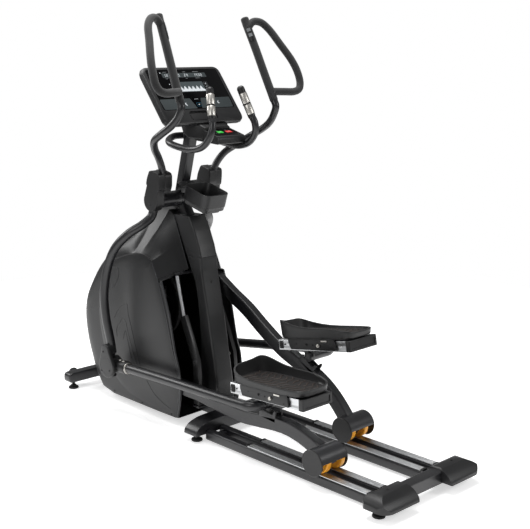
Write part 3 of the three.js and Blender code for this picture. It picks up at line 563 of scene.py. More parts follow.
def housing_side():
    """One half of the housing: rings that grow from the core out to the rim."""
    angle, outer = polar(OUTLINE)
    inner = panel_reach(angle)
    heading = np.stack([np.cos(np.radians(angle)), np.sin(np.radians(angle))], axis=1)
    inside = [0.12, 0.25, 0.4, 0.55, 0.68, 0.79, 0.87, 0.92, 0.955, 0.98, 1.0]
    outside = [0.03, 0.08, 0.16, 0.26, 0.37, 0.48, 0.59, 0.69, 0.78, 0.86, 0.92, 0.96, 0.985, 1.0]
    rings = []
    for share in inside:
        spots = CORE + heading * (inner * share)[:, None]
        rings.append([(panel_width(y, z, share), y, z) for y, z in spots])
    for t in outside:
        spots = CORE + heading * (inner + (outer - inner) * t)[:, None]
        widths = OUTLINE[:, 2] + (RIM_WIDTH - OUTLINE[:, 2]) * (1 - t ** OUTLINE[:, 3]) ** (1 / OUTLINE[:, 3])
        rings.append([(w, y, z) for w, (y, z) in zip(widths, spots)])
    rear = len(curve(SLOT_EDGE, 10)) + len(spread([SLOT_EDGE[-1], *SPINE_JOIN], 5)) - 1
    last = []
    for k, (width, y, z) in enumerate(rings[-1]):
        last.append((width - 3, y + 62, z) if k < rear else (0.3, y, z))
    rings.append(last)
    return loft(rings, caps=(True, False))


def bead(points, radius, per=10, lift=0.0, closed=False):
    """A raised line that lies on the housing's side."""
    line = curve([*points, points[0]] if closed else points, per)
    return sweep([(housing_width(y, z) + lift, y, z) for y, z in line], radius, 8,
                 0 if closed else radius * 0.8)


def housing():
    for side in SIDES:
        name, sign = side["name"], side["sign"]
        piece(f"housing_{name}", housing_side(), SHELL, "frame", sign=sign,
              replaces=[f"shroud_{name}"], wall=3, smooth=26)
        lines = {
            "crest": [(228, 60), (208, 150), (214, 258), (245, 345), (290, 504), (349, 656), (380, 718)],
            "edge": [(225, 44), (203, 140), (208, 258), (236, 345), (273, 506), (322, 646)],
            "join": [(299, 698), (347, 812), (392, 920)],
            "shoulder": [(392, 738), (464, 754), (560, 736), (650, 703), (700, 668)],
            "fin_outer": [(669, 417), (640, 462), (600, 495), (572, 504), (560, 455), (530, 380), (474, 219)],
            "fin_inner": [(648, 330), (652, 366), (630, 400), (600, 430), (581, 413), (560, 360), (502, 227)],
            "fin_low": [(600, 330), (585, 372), (566, 330), (540, 250)],
            "seam_upper": [(922, 497), (880, 512), (830, 520), (785, 527)],
            "seam_lower": [(936, 408), (890, 420), (840, 436), (788, 449)],
            "base_sweep": [(430, 168), (380, 118), (320, 88), (262, 71)],
        }
        for key, points in lines.items():
            size = {"crest": 3.4, "edge": 5.0, "shoulder": 2.4, "base_sweep": 1.4, "join": 2.2}.get(key, 1.0)
            # The crest, edge and join beads take the lighter charcoal: painted highlight along these edges
            finish = HIGHLIGHT_AND_TRIM if key in ("crest", "edge", "join") else SHELL
            piece(f"housing_{key}_{name}", bead(points, size), finish, "frame", sign=sign)
        pocket = [(705, 545), (700, 600), (690, 648), (665, 662), (632, 658), (634, 620), (660, 578)]
        piece(f"housing_pocket_{name}", bead(pocket, 1.0, closed=True), SHELL, "frame",
              sign=sign)
        for k, (y, z) in enumerate([(691, 50), (475, 44), (262, 45)]):
            screw(f"housing_screw_{name}_{k}", (housing_width(y, z) + 0.4, y, z), 5, "frame", sign=sign)


SPINE_REAR = [(99, 97), (107, 200), (133, 340), (162, 495), (196, 640), (208, 700), (211, 750), (226, 800),
              (256, 868), (290, 928)]
SPINE_DEPTH = [(215, 97), (212, 200), (215, 400), (232, 560), (250, 640), (283, 704), (312, 765),
               (345, 830), (372, 890), (396, 928)]
SPINE_SEAM = 752


SPINE_HALF = 49.7
SPINE_Z = (97, 928)
SPINE_GAP = 0.8


def spine_part(low, high):
    """One length of the spine cover, from its rear face to the housing."""
    levels = [*np.arange(low, high, 12), high]
    rear = np.array(SPINE_REAR, float)
    front = np.array(SPINE_DEPTH, float)
    rings = []
    for z in levels:
        back = np.interp(z, rear[:, 1], rear[:, 0])
        fore = np.interp(z, front[:, 1], front[:, 0])
        outline = [(-SPINE_HALF, fore), (-SPINE_HALF, back), (SPINE_HALF, back), (SPINE_HALF, fore)]
        rings.append([(x, y, z) for x, y in rounded(outline, [0.1, 11, 11, 0.1], 5)])
    return loft(rings)


def spine():
    piece("spine_lower", spine_part(SPINE_Z[0], SPINE_SEAM - SPINE_GAP), SHELL, "frame",
          replaces=["spine_cover"], smooth=30)
    piece("spine_upper", spine_part(SPINE_SEAM + SPINE_GAP, SPINE_Z[1]), SHELL, "frame",
          smooth=30)
    screw("spine_screw", (0, 194.5, 640), 5.5, "frame", axis="y")


# ---------------------------------------------------------------- floor frame and rails
def bar(x, y, z, radius):
    """A rounded bar along Y with its edges eased."""
    return soften(prism(rectangle(x, z, radius), y, "y"), 1.5)


def rails():
    """Two bars a side with an aluminium track on each."""
    for side in SIDES:
        name, sign = side["name"], side["sign"]
        tubes = [bar((x - 19, x + 19), (-959, -8.5), (8, 51.5), 11) for x in TRACK_X]
        ties = [bar((TRACK_X[0], TRACK_X[1]), (y - 15, y + 15), (12, 40), 3) for y in (-925, -500, -45)]
        piece(f"rail_tubes_{name}", join(*tubes, *ties), PAINT, "frame", sign=sign,
              replaces=[f"rail_frame_{name}"])
        for x, where in zip(TRACK_X, ("inner", "outer")):
            top, half, foot = 56, 17, 51.8
            section = [(x - half, foot), (x - half, top - 1.2), (x - half + 1.2, top), (x - 7, top),
                       (x - 6, top - 0.9),
                       (x - 5, top), (x + 5, top), (x + 6, top - 0.9), (x + 7, top), (x + half - 1.2, top),
                       (x + half, top - 1.2), (x + half, foot)]
            piece(f"track_{name}_{where}", soften(prism(section, (-903, -267), "y"), 0.4, 1), ALUMINIUM,
                  "frame",
                  sign=sign, replaces=[f"track_strip_{name}_{where}"], smooth=25)
            for end, y in (("rear", -909), ("front", -261)):
                clip = soften(prism(rectangle((x - 15, x + 15), (51.6, 58), 2), (y - 6, y + 6), "y"), 1.2)
                piece(f"track_clip_{name}_{where}_{end}", clip, DARK, "frame", sign=sign)
                screw(f"track_screw_{name}_{where}_{end}",
                      (x, y + (18 if end == "rear" else -18), top - 0.6), 4,
                      "frame", sign=sign, axis="z", finish=PLATED)


WHEEL = (186, 1039, 55)


def stabilisers():
    rear = soften(prism(rectangle((-264, 264), (32, 84), 14), (-1010, -960), "y"), 5, 3)
    piece("rear_tube", rear, PAINT, "frame", replaces=["rear_stabilizer"])
    half = [(0, 92), (150, 92), (205, 88), (250, 74), (272, 54), (275, 34), (0, 34)]
    outline = rounded([*half[:-1], *[(-x, z) for x, z in reversed(half[:-1])]],
                      [0, 30, 30, 20, 12, 3] + [3, 12, 20, 30, 30, 0])
    mid = soften(prism(outline, (-8, 72), "y"), 9, 4)
    piece("middle_tube", mid, PAINT, "frame", replaces=["mid_stabilizer"])
    front = soften(prism(rectangle((-265, 265), (36, 86), 22), (958, 1010), "y"), 7, 3)
    forks = []
    ear = rounded([(1000, 41), (1000, 65), (1026, 67), (1047, 65), (1049, 47), (1030, 41)],
                  [1, 8, 8, 8, 8, 6])
    for middle in (-WHEEL[0], WHEEL[0]):
        for offset in (-17, 17):
            forks.append(soften(prism(ear, (middle + offset - 2.5, middle + offset + 2.5)), 0.8))
        forks.append(drum((middle - 21, middle + 21), 6, *WHEEL[1:]))
        forks.append(drum((middle - 23, middle - 19), 9, *WHEEL[1:], 1))
        forks.append(drum((middle + 19, middle + 23), 9, *WHEEL[1:], 1))
    piece("front_tube", join(front, *forks), PAINT, "frame", replaces=["front_stabilizer"])
    beam = soften(prism(rectangle((-40, 40), (34, 94), 8), (72.3, 957.7), "y"), 1)
    seat = soften(prism(rectangle((-122, 122), (84, 94), 2), (150, 192), "y"), 1)
    piece("long_beam", join(beam, seat), PAINT, "frame", replaces=["base_beam"])


def feet_and_wheels():
    rows = (("rear", 244, -985, 32), ("mid", 237, 30, 34), ("front", 225, 985, 36))
    for row, x, y, top in rows:
        for side in SIDES:
            profile = [(0.1, 0), (21, 0), (24, 1.5), (25, 5), (24.2, 9), (20, 12), (13, 13.5), (12.5, 15),
                       (12.5, 19),
                       (6, 19.5)]
            for k in range(6):
                profile += [(6, 20 + k * 2), (6.9, 21 + k * 2)]
            profile = [(r, min(z, top - 0.4)) for r, z in profile] + [(6, top - 0.3), (0.1, top - 0.3)]
            foot = lathe(profile, sides=32)
            moved(foot, Matrix.Translation((x, y, 0)) @ UPRIGHT)
            piece(f"levelling_foot_{row}_{side['name']}", foot, RUBBER, "frame", sign=side["sign"],
                  replaces=[f"foot_{row}_{side['name']}"])
    for side in SIDES:
        name, sign = side["name"], side["sign"]
        tyre = lathe([(6.4, -12), (15, -12), (16, -10), (23, -10), (24, -12), (26.5, -11), (28, -7),
                      (28, 7), (26.5, 11),
                      (24, 12), (23, 10), (16, 10), (15, 12), (6.4, 12), (6.4, -12)], sides=48)
        moved(tyre, Matrix.Translation(WHEEL))
        piece(f"transport_tyre_{name}", tyre, RUBBER, f"{name}_transport_wheel", sign=sign,
              replaces=[f"transport_wheel_{name}"])


def end_caps():
    section = rounded([(-940, 34), (-940, 76), (-956, 90), (-996, 95), (-1036, 74), (-1056, 52), (-1060, 34)],
                      [2, 14, 24, 30, 22, 14, 3], 6)
    plan = rounded([(98, -1060), (298, -1060), (298, -940), (98, -940)], [8, 60, 30, 6], 10)
    for side in SIDES:
        name, sign = side["name"], side["sign"]
        blank = carve(prism(section, (98, 298)), prism(plan, (20, 112), "z"), how="INTERSECT")
        dome = rounded([(98, 38), (98, 88), (118, 96), (228, 96), (276, 82), (298, 60), (298, 38)],
                       [2, 12, 20, 30, 26, 12, 4], 6)
        blank = carve(blank, prism(dome, (-1070, -930), "y"), how="INTERSECT")
        blank = soften(blank, 6, 4, 28)
        pocket = prism(rectangle((80, 264.3), (-5, 84.3), 0.1), (-1010.3, -959.7), "y")
        notches = [prism(rectangle((x - 19.6, x + 19.6), (-5, 52), 0.1), (-962, -920), "y") for x in TRACK_X]
        shell = carve(blank, pocket, *notches)
        piece(f"end_cap_{name}", shell, SHELL, "frame", sign=sign,
              replaces=[f"rear_cap_{name}"],
              smooth=32)
        screw(f"end_cap_screw_{name}", (196, -982, 93.6), 6, "frame", sign=sign, axis="z")


def mast():
    lower = curve([(215, 495), (262, 757), (318, 860), (395, 985)], 6)
    upper = [(350 + (1208 - z) * 0.262, z) for z in (960, 1364)]
    tube = soften(prism(ribbon(upper, 23), (-23, 23)), 9, 4)
    stem = soften(prism(ribbon(lower, 23), (-23, 23)), 6, 2)
    foot = soften(prism([(127, 95), (173, 95), (238, 500), (192, 500)], (-23, 23)), 4)
    collar = drum((-25.6, 25.6), 31, *PIVOT, 3)
    cross = soften(prism(rectangle((302, 326), (668, 680), 2), (-118, 118)), 1)
    plate = soften(prism(rectangle((-60, 60), (-108, 50), 6), (-50.3, -42.3), "z"), 1)
    moved(plate, at(CONSOLE[0], CONSOLE[1], 90 - CONSOLE[2]))
    lug = soften(prism(rectangle((340, 358), (1268, 1292), 2), (-23, 23)), 1)
    piece("mast_tube", join(tube, stem, foot, collar, cross, plate, lug), PAINT, "frame",
          replaces=["frame_mast"])
    ring = soften(prism(rectangle((-29, 29), (-29, 29), 12), (-6, 6), "z"), 2.5, 3)
    moved(ring, at(404, 1003, 0) @ Matrix.Rotation(math.radians(14.7), 4,
                                                   "X") @ Matrix.Translation((0, 0, -44)))
    piece("mast_gaiter", ring, DARK, "frame")


def slots():
    """The rod and the bent bar in each rear slot."""
    for side in SIDES:
        name, sign = side["name"], side["sign"]
        rod = sweep([(105, 314, 664), (105, 266, 478)], 9.5, 28)
        piece(f"strut_rod_{name}", rod, ALUMINIUM, "frame", sign=sign,
              replaces=[f"slot_strut_{name}"])
        flat = soften(prism(ribbon([(263, 488), (222, 400), (178, 298), (172, 240), (170, 96)], 19),
                            (98, 118)), 2)
        piece(f"strut_bar_{name}", flat, SHELL, "frame", sign=sign)
        screw(f"strut_bolt_{name}", (118.2, 179, 290), 9, "frame", sign=sign, finish=RUBBER)
        seat = lathe([(9.5, 117), (9.5, 119), (13, 119), (14, 118), (14, 117), (9.5, 117)], 179, 290)
        piece(f"strut_bolt_seat_{name}", seat, HIGHLIGHT_AND_TRIM, "frame", sign=sign)
        nut = lathe([(7, 88), (9, 89.5), (9, 91.5), (7, 92)], 180, 292, 6)
        piece(f"strut_nut_{name}", nut, PLATED, "frame", sign=sign)


# ---------------------------------------------------------------- accessory tray
def tray():
    place = at(362.5, 1091, 15)
    rings = []
    for z, grow in ((-82, -7), (-80, -4), (-64, -2), (-62, 0), (-4, 2.4), (-1, 2.6), (0, 1.4), (0, -2.6),
                    (-2, -3.6),
                    (-60, -6), (-74, -10), (-77, -16)):
        rings.append([(x, y, z) for x, y in rectangle((-70 - grow, 70 + grow), (-220 - grow, -64 + grow),
                                                      34 + grow, 9)])
    piece("tray_bowl", loft(rings), SHELL, "frame", place, replaces=["accessory_tray"])
    step = soften(prism(rectangle((-46, 46), (-206, -90), 18, 6), (-92, -80), "z"), 4, 3)
    piece("tray_base", step, SHELL, "frame", place)
    shelf = soften(prism(rectangle((-62, 62), (-66, -8), 10), (-16, -9), "z"), 2)
    lip = soften(prism(rectangle((-62, 62), (-46, -10), 4), (-14, -8), "y"), 1.5)
    dish = lathe([(0.1, 0), (17, 0), (18, 1.2), (21, 1.2), (22, 0), (23, -1)], sides=36)
    moved(dish, Matrix.Translation((0, -36, -9)) @ UPRIGHT)
    piece("tray_shelf", join(shelf, lip), SHELL, "frame", place)
    piece("tray_dish", dish, DARK, "frame", place)


# ---------------------------------------------------------------- console
def console():
    place = at(CONSOLE[0], CONSOLE[1], 90 - CONSOLE[2])
    rings = []
    for z, grow in ((-42, -26), (-41, -20), (-34, -8), (-26, -2), (-16, 0), (-6, 0), (-2, -1.2), (0, -4.5)):
        rings.append([(x, y, z) for x, y in rectangle((-224 - grow, 224 + grow), (-149 - grow, 149 + grow),
                                                      36 + grow * 0.6, 9)])
    recess = prism(rectangle((-204, 204), (-78, 134), 13, 7), (-4, 20), "z")
    well = soften(prism(rectangle((-76, 76), (-136, -88), 16, 7), (-9, 20), "z"), 1)
    piece("console_body", carve(loft(rings), recess, well), SHELL, "frame", place,
          replaces=["console_housing"], smooth=30)
    pad = soften(prism(rectangle((-66, 66), (-130, -94), 12, 7), (-9.5, -6), "z"), 1.5, 3)
    piece("console_well_pad", pad, DARK, "frame", place)
    seam = sweep(curve([(x, y, -16) for x, y in rectangle((-224.4, 224.4), (-149.4, 149.4), 36, 9)], 2),
                 0.7, 6)
    piece("console_seam", seam, DARK, "frame", place)
    lens = soften(prism(rectangle((-203.5, 203.5), (-77.5, 133.5), 12.5, 7), (-3.8, -1.2), "z"), 0.5)
    piece("console_glass", lens, GLASS, "frame", place, replaces=["console_lens"])
    display_marks(place)
    keypad()


def decal(name, shapes, finish, place, top=-1.0):
    plates = [prism(points, (top - 0.25, top), "z") for points in shapes]
    piece(name, join(*plates), finish, "frame", place)


def digit(x, y, size, code):
    """A seven-segment figure; code lists the lit segments."""
    w, h, t = size * 0.5, size, size * 0.13
    bars = {"a": ((0, w), (h - t, h)), "b": ((w - t, w), (h / 2, h)), "c": ((w - t, w), (0, h / 2)),
            "d": ((0, w), (0, t)),
            "e": ((0, t), (0, h / 2)), "f": ((0, t), (h / 2, h)),
            "g": ((0, w), (h / 2 - t / 2, h / 2 + t / 2))}
    lean = 0.12
    made = []
    for key in code:
        (x0, x1), (y0, y1) = bars[key]
        made.append([(x + a + b * lean, y + b) for a, b in ((x0, y0), (x1, y0), (x1, y1), (x0, y1))])
    return made


FIGURES = {"0": "abcdef", "1": "bc", "2": "abged", "3": "abgcd", "4": "fgbc", "5": "afgcd", "8": "abcdefg"}


def display_marks(place):
    decal("display_strip", [rectangle((-122, 128), (92, 116), 2)], SLATE, place, -1.05)
    marks = []
    for start, text in ((-112, "12"), (-58, "105"), (2, "24"), (58, "1432")):
        for k, figure in enumerate(text):
            marks += digit(start + 13 * k, 96.5, 14.5, FIGURES[figure])
    decal("display_figures", marks, LEGEND, place, top=-0.8)
    labels = []
    for x, length in ((-112, 20), (-58, 26), (2, 16), (58, 34)):
        labels.append(rectangle((x, x + length), (120.5, 122.5), 0.5, 2))
        labels.append(rectangle((x + 2, x + length * 0.8), (86, 88), 0.5, 2))
    decal("display_labels", labels, FAINT, place)
    decal("display_screen", [rectangle((-86, 86), (14, 68), 2)], WINDOW, place, -1.05)
    hills = [(-84, 17)]
    for k in range(7):
        x = -76 + k * 23
        hills += [(x - 6, 27), (x, 40), (x + 5, 46), (x + 9, 38), (x + 14, 28)]
    hills += [(84, 26), (84, 17)]
    decal("display_profile", [hills], LEGEND, place, top=-0.8)
    panels = []
    for sign in (-1, 1):
        panels.append(rounded([(sign * 200, -20), (sign * 31, -20), (sign * 13, -74), (sign * 196, -74)], 5))
    decal("display_panels", panels, SLATE, place, -1.05)
    small = [rectangle((x - 2.5, x + 2.5), (y - 2.5, y + 2.5), 2.2, 3) for x, y in ((-127, 118), (-104, 57))]
    for x, y in ((-66, -50), (122, -46)):
        small.append([(x - 4, y + 6), (x + 4, y + 8), (x - 1, y + 1), (x + 6, y - 6), (x + 1, y - 8),
                      (x - 6, y - 1)])
    small += [rectangle((-6 + k * 5, -3 + k * 5), (-26, -24), 0.5, 2) for k in range(4)]
    small += [rectangle((98, 106), (55, 58), 1, 2), rectangle((98, 106), (40, 42), 1, 2)]
    decal("display_icons", small, LEGEND, place, top=-0.8)
    rings = []
    for x, y, w, h in ((102, 57, 10, 7), (102, 41, 10, 7), (102, 25, 10, 7)):
        rings.append(frame_line(x, y, w, h, 0.6))
    piece("display_key_rings", join(*[moved(r, Matrix.Translation((0, 0, -0.9))) for r in rings]), FAINT,
          "frame",
          place)
    blue = moved(frame_line(6, -54, 13, 9, 1.0), Matrix.Translation((0, 0, -0.9)))
    piece("display_blue_key", blue, BLUE, "frame", place)
    decal("display_blue_mark", [rectangle((2, 10), (-56, -52), 1.5, 3)], LEGEND, place, top=-0.8)


def frame_line(x, y, half_width, half_height, line):
    """A thin rounded frame lying flat."""
    outer = rectangle((x - half_width, x + half_width), (y - half_height, y + half_height), 3)
    inner = rectangle((x - half_width + line, x + half_width - line),
                      (y - half_height + line, y + half_height - line), 2.4)
    return loft([[(*p, 0) for p in outer], [(*p, 0.3) for p in outer], [(*p, 0.3) for p in inner],
                 [(*p, 0) for p in inner]],
                caps=(False, False))


KEYPAD_X = (-36, 124)
KEYPAD_TILT = 15
KEY_X = (21, 71)


def keypad():
    """The key pad on its neck, its top tipped towards the user."""
    tilt = at(160, 1305, KEYPAD_TILT)
    section = rounded([(110, 1258), (110, 1284), (117, 1292.5), (218, 1319.5), (240, 1360), (262, 1372),
                       (262, 1268)],
                      [5, 6, 4, 14, 20, 2, 2], 5)
    block = soften(prism(section, KEYPAD_X), 5, 3)
    pockets = [moved(prism(rectangle((x - 16.5, x + 16.5), (-10.5, 10.5), 2), (-6, 12), "z"),
                     tilt) for x in KEY_X]
    span = (KEYPAD_X[0] + 9, KEYPAD_X[1] - 9)
    recess = moved(prism(rectangle(span, (-36, 48), 8), (-0.3, 12), "z"), tilt)
    piece("keypad_block", carve(block, recess, *pockets), SHELL, "frame", smooth=32)
    plate = prism(rectangle((span[0] + 0.5, span[1] - 0.5), (-35.5, 47.5), 7.5), (-1.0, 0.4), "z")
    holes = [prism(rectangle((x - 16.6, x + 16.6), (-10.6, 10.6), 2), (-5, 5), "z") for x in KEY_X]
    piece("keypad_glass", carve(plate, *holes), GLASS, "frame", tilt)
    for k, z in enumerate((1266, 1273, 1280)):
        line = sweep([(KEYPAD_X[0] + 8, 110, z), (KEYPAD_X[1] - 8, 110, z)], 1.1, 8, 0.8)
        piece(f"keypad_line_{k}", line, DARK, "frame")
    funnel = []
    for y, middle, low, high, half in ((204, 44, 1268, 1326, 76), (262, 14, 1280, 1366, 92),
                                       (290, 4, 1300, 1376, 84),
                                       (322, 0, 1322, 1384, 62), (352, 0, 1340, 1378, 40)):
        funnel.append([(x, y, z) for x, z in rectangle((middle - half, middle + half), (low, high), 12, 4)])
    piece("console_neck", loft(funnel), DARK, "frame")
    marks = [rectangle((x - 2, x + 2), (y - 1.2, y + 1.2), 0.6, 2) for x in (-18, -6) for y in (-8, 8, 24)]
    marks += [rectangle((x - 5, x + 5), (22, 24), 0.6, 2) for x in KEY_X]
    plates = [prism(points, (0.3, 0.7), "z") for points in marks]
    piece("keypad_marks", join(*plates), FAINT, "frame", tilt)
    for key, x, finish in (("start", KEY_X[0], GREEN), ("stop", KEY_X[1], RED)):
        cap = soften(prism(rectangle((x - 15.8, x + 15.8), (-9.8, 9.8), 3.5), (-3.4, 2.6), "z"), 1.4, 3)
        mark = prism(rectangle((x - 6, x + 6), (-1, 1), 0.8, 2), (2.5, 2.8), "z")
        piece(f"{key}_cap", cap, finish, f"{key}_key", tilt, replaces=[f"{key}_button"])
        piece(f"{key}_cap_mark", mark, LEGEND, f"{key}_key", tilt)


# ---------------------------------------------------------------- handlebars
FIXED_HALF = [(60, 374, 1280), (108, 352, 1268), (133, 312, 1257), (137, 250, 1246), (134, 160, 1241),
              (132, 92, 1262), (129, 52, 1308), (121, 48, 1350), (116, 59, 1373)]


def fixed_bar():
    path = [(-x, y, z) for x, y, z in reversed(FIXED_HALF)] + [(0, 375, 1281)] + FIXED_HALF
    piece("fixed_bar", sweep(curve(path, 8), 15, 28), PAINT, "frame",
          replaces=["fixed_handlebar"])
    low, high = np.array((115, 60.5, 1376.0)), np.array((91, 98, 1480.0))
    along = high - low
    for side in SIDES:
        name, sign = side["name"], side["sign"]
        core = sweep(curve([low, low + along * 0.5, high, high + along * 0.1], 4), 16.6, 32, 14)
        piece(f"pulse_core_{name}", core, DARK, "frame", sign=sign,
              replaces=[f"pulse_grip_{name}"])
        for part, (a, b) in (("lower", (0.08, 0.46)), ("upper", (0.52, 0.92))):
            plate = half_sleeve(low + along * a, low + along * b, 18.0, (0.25, -1.0, -0.1), 100)
            piece(f"pulse_plate_{name}_{part}", plate, PLATED, "frame", sign=sign)
        band = sweep([low + along * 0.475, low + along * 0.505], 18.2, 32, 0.8)
        piece(f"pulse_band_{name}", band, RUBBER, "frame", sign=sign)


def half_sleeve(start, end, radius, facing, half_angle, thick=1.0):
    """A curved plate wrapped part of the way round a rod, on its facing side."""
    along = np.array(end) - np.array(start)
    tangent = along / np.linalg.norm(along)
    out = np.array(facing, float)
    out -= tangent * out.dot(tangent)
    out /= np.linalg.norm(out)
    across = np.cross(tangent, out)
    turns = np.radians(np.linspace(-half_angle, half_angle, 22))
    chamfer = 0.6

    def part_circle(centre, reach):
        return [tuple(centre + reach * (math.cos(t) * out + math.sin(t) * across)) for t in turns]

    rings = []
    for share in (0, 0.03, 0.97, 1):
        grow = -chamfer if share in (0, 1) else 0
        centre = np.array(start) + along * share
        rings.append(part_circle(centre, radius + grow) + part_circle(centre, radius - thick - chamfer)[::-1])
    return loft(rings)


def local(points):
    return [(x, y - PIVOT[0], z - PIVOT[1]) for x, y, z in points]


HANDLE_PATH = [(147, 366, 1076), (148, 347, 1124), (163, 337, 1160), (192, 320, 1200), (240, 282, 1240),
               (276, 236, 1278), (284, 183, 1307), (277, 125, 1342), (267, 88, 1380), (263.2, 71, 1420),
               (261, 81, 1445)]
GRIP_BAR = [(260.9, 81.6, 1446.4), (252, 128, 1545), (241, 186, 1670), (231, 237, 1775), (230, 243, 1789)]
GRIP_LOOP = [(233, 225, 1752), (262, 223, 1779), (296, 211, 1777), (325, 193, 1752), (358, 147, 1684),
             (391, 99, 1608), (402.5, 74, 1556), (402, 60, 1515), (388, 53, 1491), (360, 54, 1481),
             (310, 66, 1481), (262, 84, 1482)]
LOWER_PATH = [(146, 404, 985), (150, 418, 950), (158, 422, 926), (195, 438, 893), (243, 486, 850),
              (272, 548, 782), (281, 598, 690), (286, 627, 560), (282, 625, 445), (271, 612, 340),
              (268, 605, 282)]


def swing_arms():
    foot = np.array(lower_pivot(LEAN)) - np.array(PIVOT)
    for side in SIDES:
        name, sign, place = side["name"], side["sign"], swing_place(side)
        body = f"{name}_swing"
        hub(name, sign, place, body)
        lower = sweep(curve(local(LOWER_PATH), 8), 20, 32)
        piece(f"swing_tube_{name}", lower, PAINT, body, place, sign,
              replaces=[f"swing_arm_{name}"])
        plate = soften(prism(ribbon([(210, -700), (210.5, -740), tuple(foot)], 18), (286, 294)), 1.5)
        boss = drum((286, 294), 26, *foot)
        pin = drum((236, 290), 14, *foot)
        piece(f"swing_foot_{name}", join(plate, boss, pin), PAINT, body, place, sign)
        handle = curve(local(HANDLE_PATH), 8)
        piece(f"handle_tube_{name}", sweep(handle, 16, 32), PAINT, body, place, sign,
              replaces=[f"handlebar_{name}"])
        ring = sweep(handle[7:10], 18.2, 32, 1.2)
        piece(f"handle_ring_{name}", ring, DARK, body, place, sign)
        bar_line = curve(local(GRIP_BAR), 8)
        loop = sweep(curve(local(GRIP_LOOP), 9), 16.5, 28)
        piece(f"grip_bar_{name}", sweep(bar_line, 18, 32, 8), FOAM, body, place, sign,
              replaces=[f"hand_grip_{name}"])
        piece(f"grip_loop_{name}", loop, FOAM, body, place, sign)
        thumb_keys(name, sign, place, body)
        pivot_disc(name, sign, place, body, foot)


def thumb_keys(name, sign, place, body):
    """The small key pad on the user's side of the grip's top."""
    start, end = np.array(local([(239, 196, 1692)])[0]), np.array(local([(233, 229, 1758)])[0])
    pad = half_sleeve(start, end, 19.4, (-0.7, -0.7, 0.1), 40, 1.6)
    piece(f"thumb_pad_{name}", pad, DARK, body, place, sign)
    for k, share in enumerate((0.3, 0.62)):
        a = start + (end - start) * share
        b = start + (end - start) * (share + 0.2)
        key = half_sleeve(a, b, 20.2, (-0.7, -0.7, 0.1), 24, 0.8)
        piece(f"thumb_key_{name}_{k}", key, FAINT, body, place, sign)


def hub(name, sign, place, body):
    """The block over the upper axle, leaning with the arm."""
    lean = math.radians(LEAN)

    def turn(u, v):
        return u * math.cos(lean) - v * math.sin(lean), u * math.sin(lean) + v * math.cos(lean)

    front = [(46, 42), (46, 90), (38, 128), (30, 136), (-26, 136), (-36, 126), (-46, 80)]
    low = arc(0, 0, 46, 180, 360, 14)
    peak = rounded([(46, 60), (46, 92), (37, 132), (-30, 136), (-40, 100), (-46, 60)], 12)[1:-1]
    cover = [turn(*p) for p in [*low, *peak]]
    collar = [turn(*p) for p in rounded([(44, 40), *front[1:], (-40, 40)], 8)]
    outer = soften(prism(cover, (143, 184)), 9, 4, 30)
    inner = soften(prism(collar, (108, 150)), 8, 4, 30)
    piece(f"hub_cover_{name}", outer, DARK, body, place, sign, smooth=34)
    piece(f"hub_collar_{name}", inner, DARK, body, place, sign, smooth=34)
    barrel = lathe([(30, 26.6), (34, 26.6), (35, 28), (35, 58), (34, 59), (34, 61), (35, 62), (35, 132),
                    (33, 134), (33, 146)])
    piece(f"hub_barrel_{name}", barrel, PAINT, body, place, sign)
    y, z = turn(-38, 92)
    screw(f"hub_screw_{name}", (128, y - 2, z), 4.5, body, place=place, sign=sign, axis="y")
    screw(f"hub_side_screw_{name}", (184.2, *turn(0, -18)), 5, body, place=place, sign=sign)


def pivot_disc(name, sign, place, body, foot):
    """A hood over the lower pivot: a thick disc outside, wrapped in over the bush and open to the rear."""
    y, z = foot
    low = arc(y, z, 56, 166, 370, 26)
    top = arc(y + 4, z + 74, 28, 0, 180, 12)
    outline = low + [(y + 36, z + 60)] + top
    hood = soften(prism(outline, (262, 309)), 8, 5, 30)
    room = drum((240, 293), 42.5, y, z, 0.5, 64)
    mouth = prism([(y, z), *arc(y, z, 90, 106, 248, 11)], (240, 293))
    hood = carve(hood, room, mouth)
    piece(f"pivot_hood_{name}", hood, SHELL, body, place, sign,
          replaces=[f"pivot_cover_{name}"],
          smooth=34)
    ring = sweep([(308.6, y + 40 * math.cos(a), z + 40 * math.sin(a)) for a in np.linspace(0, 6.2832, 49)],
                 0.9, 8)
    piece(f"pivot_hood_line_{name}", ring, SHELL, body, place, sign)
    for k, (dy, dz) in enumerate(((16, 66), (-26, -18), (34, -28))):
        screw(f"pivot_hood_screw_{name}_{k}", (309.2, y + dy, z + dz), 4.5, body, place=place, sign=sign)


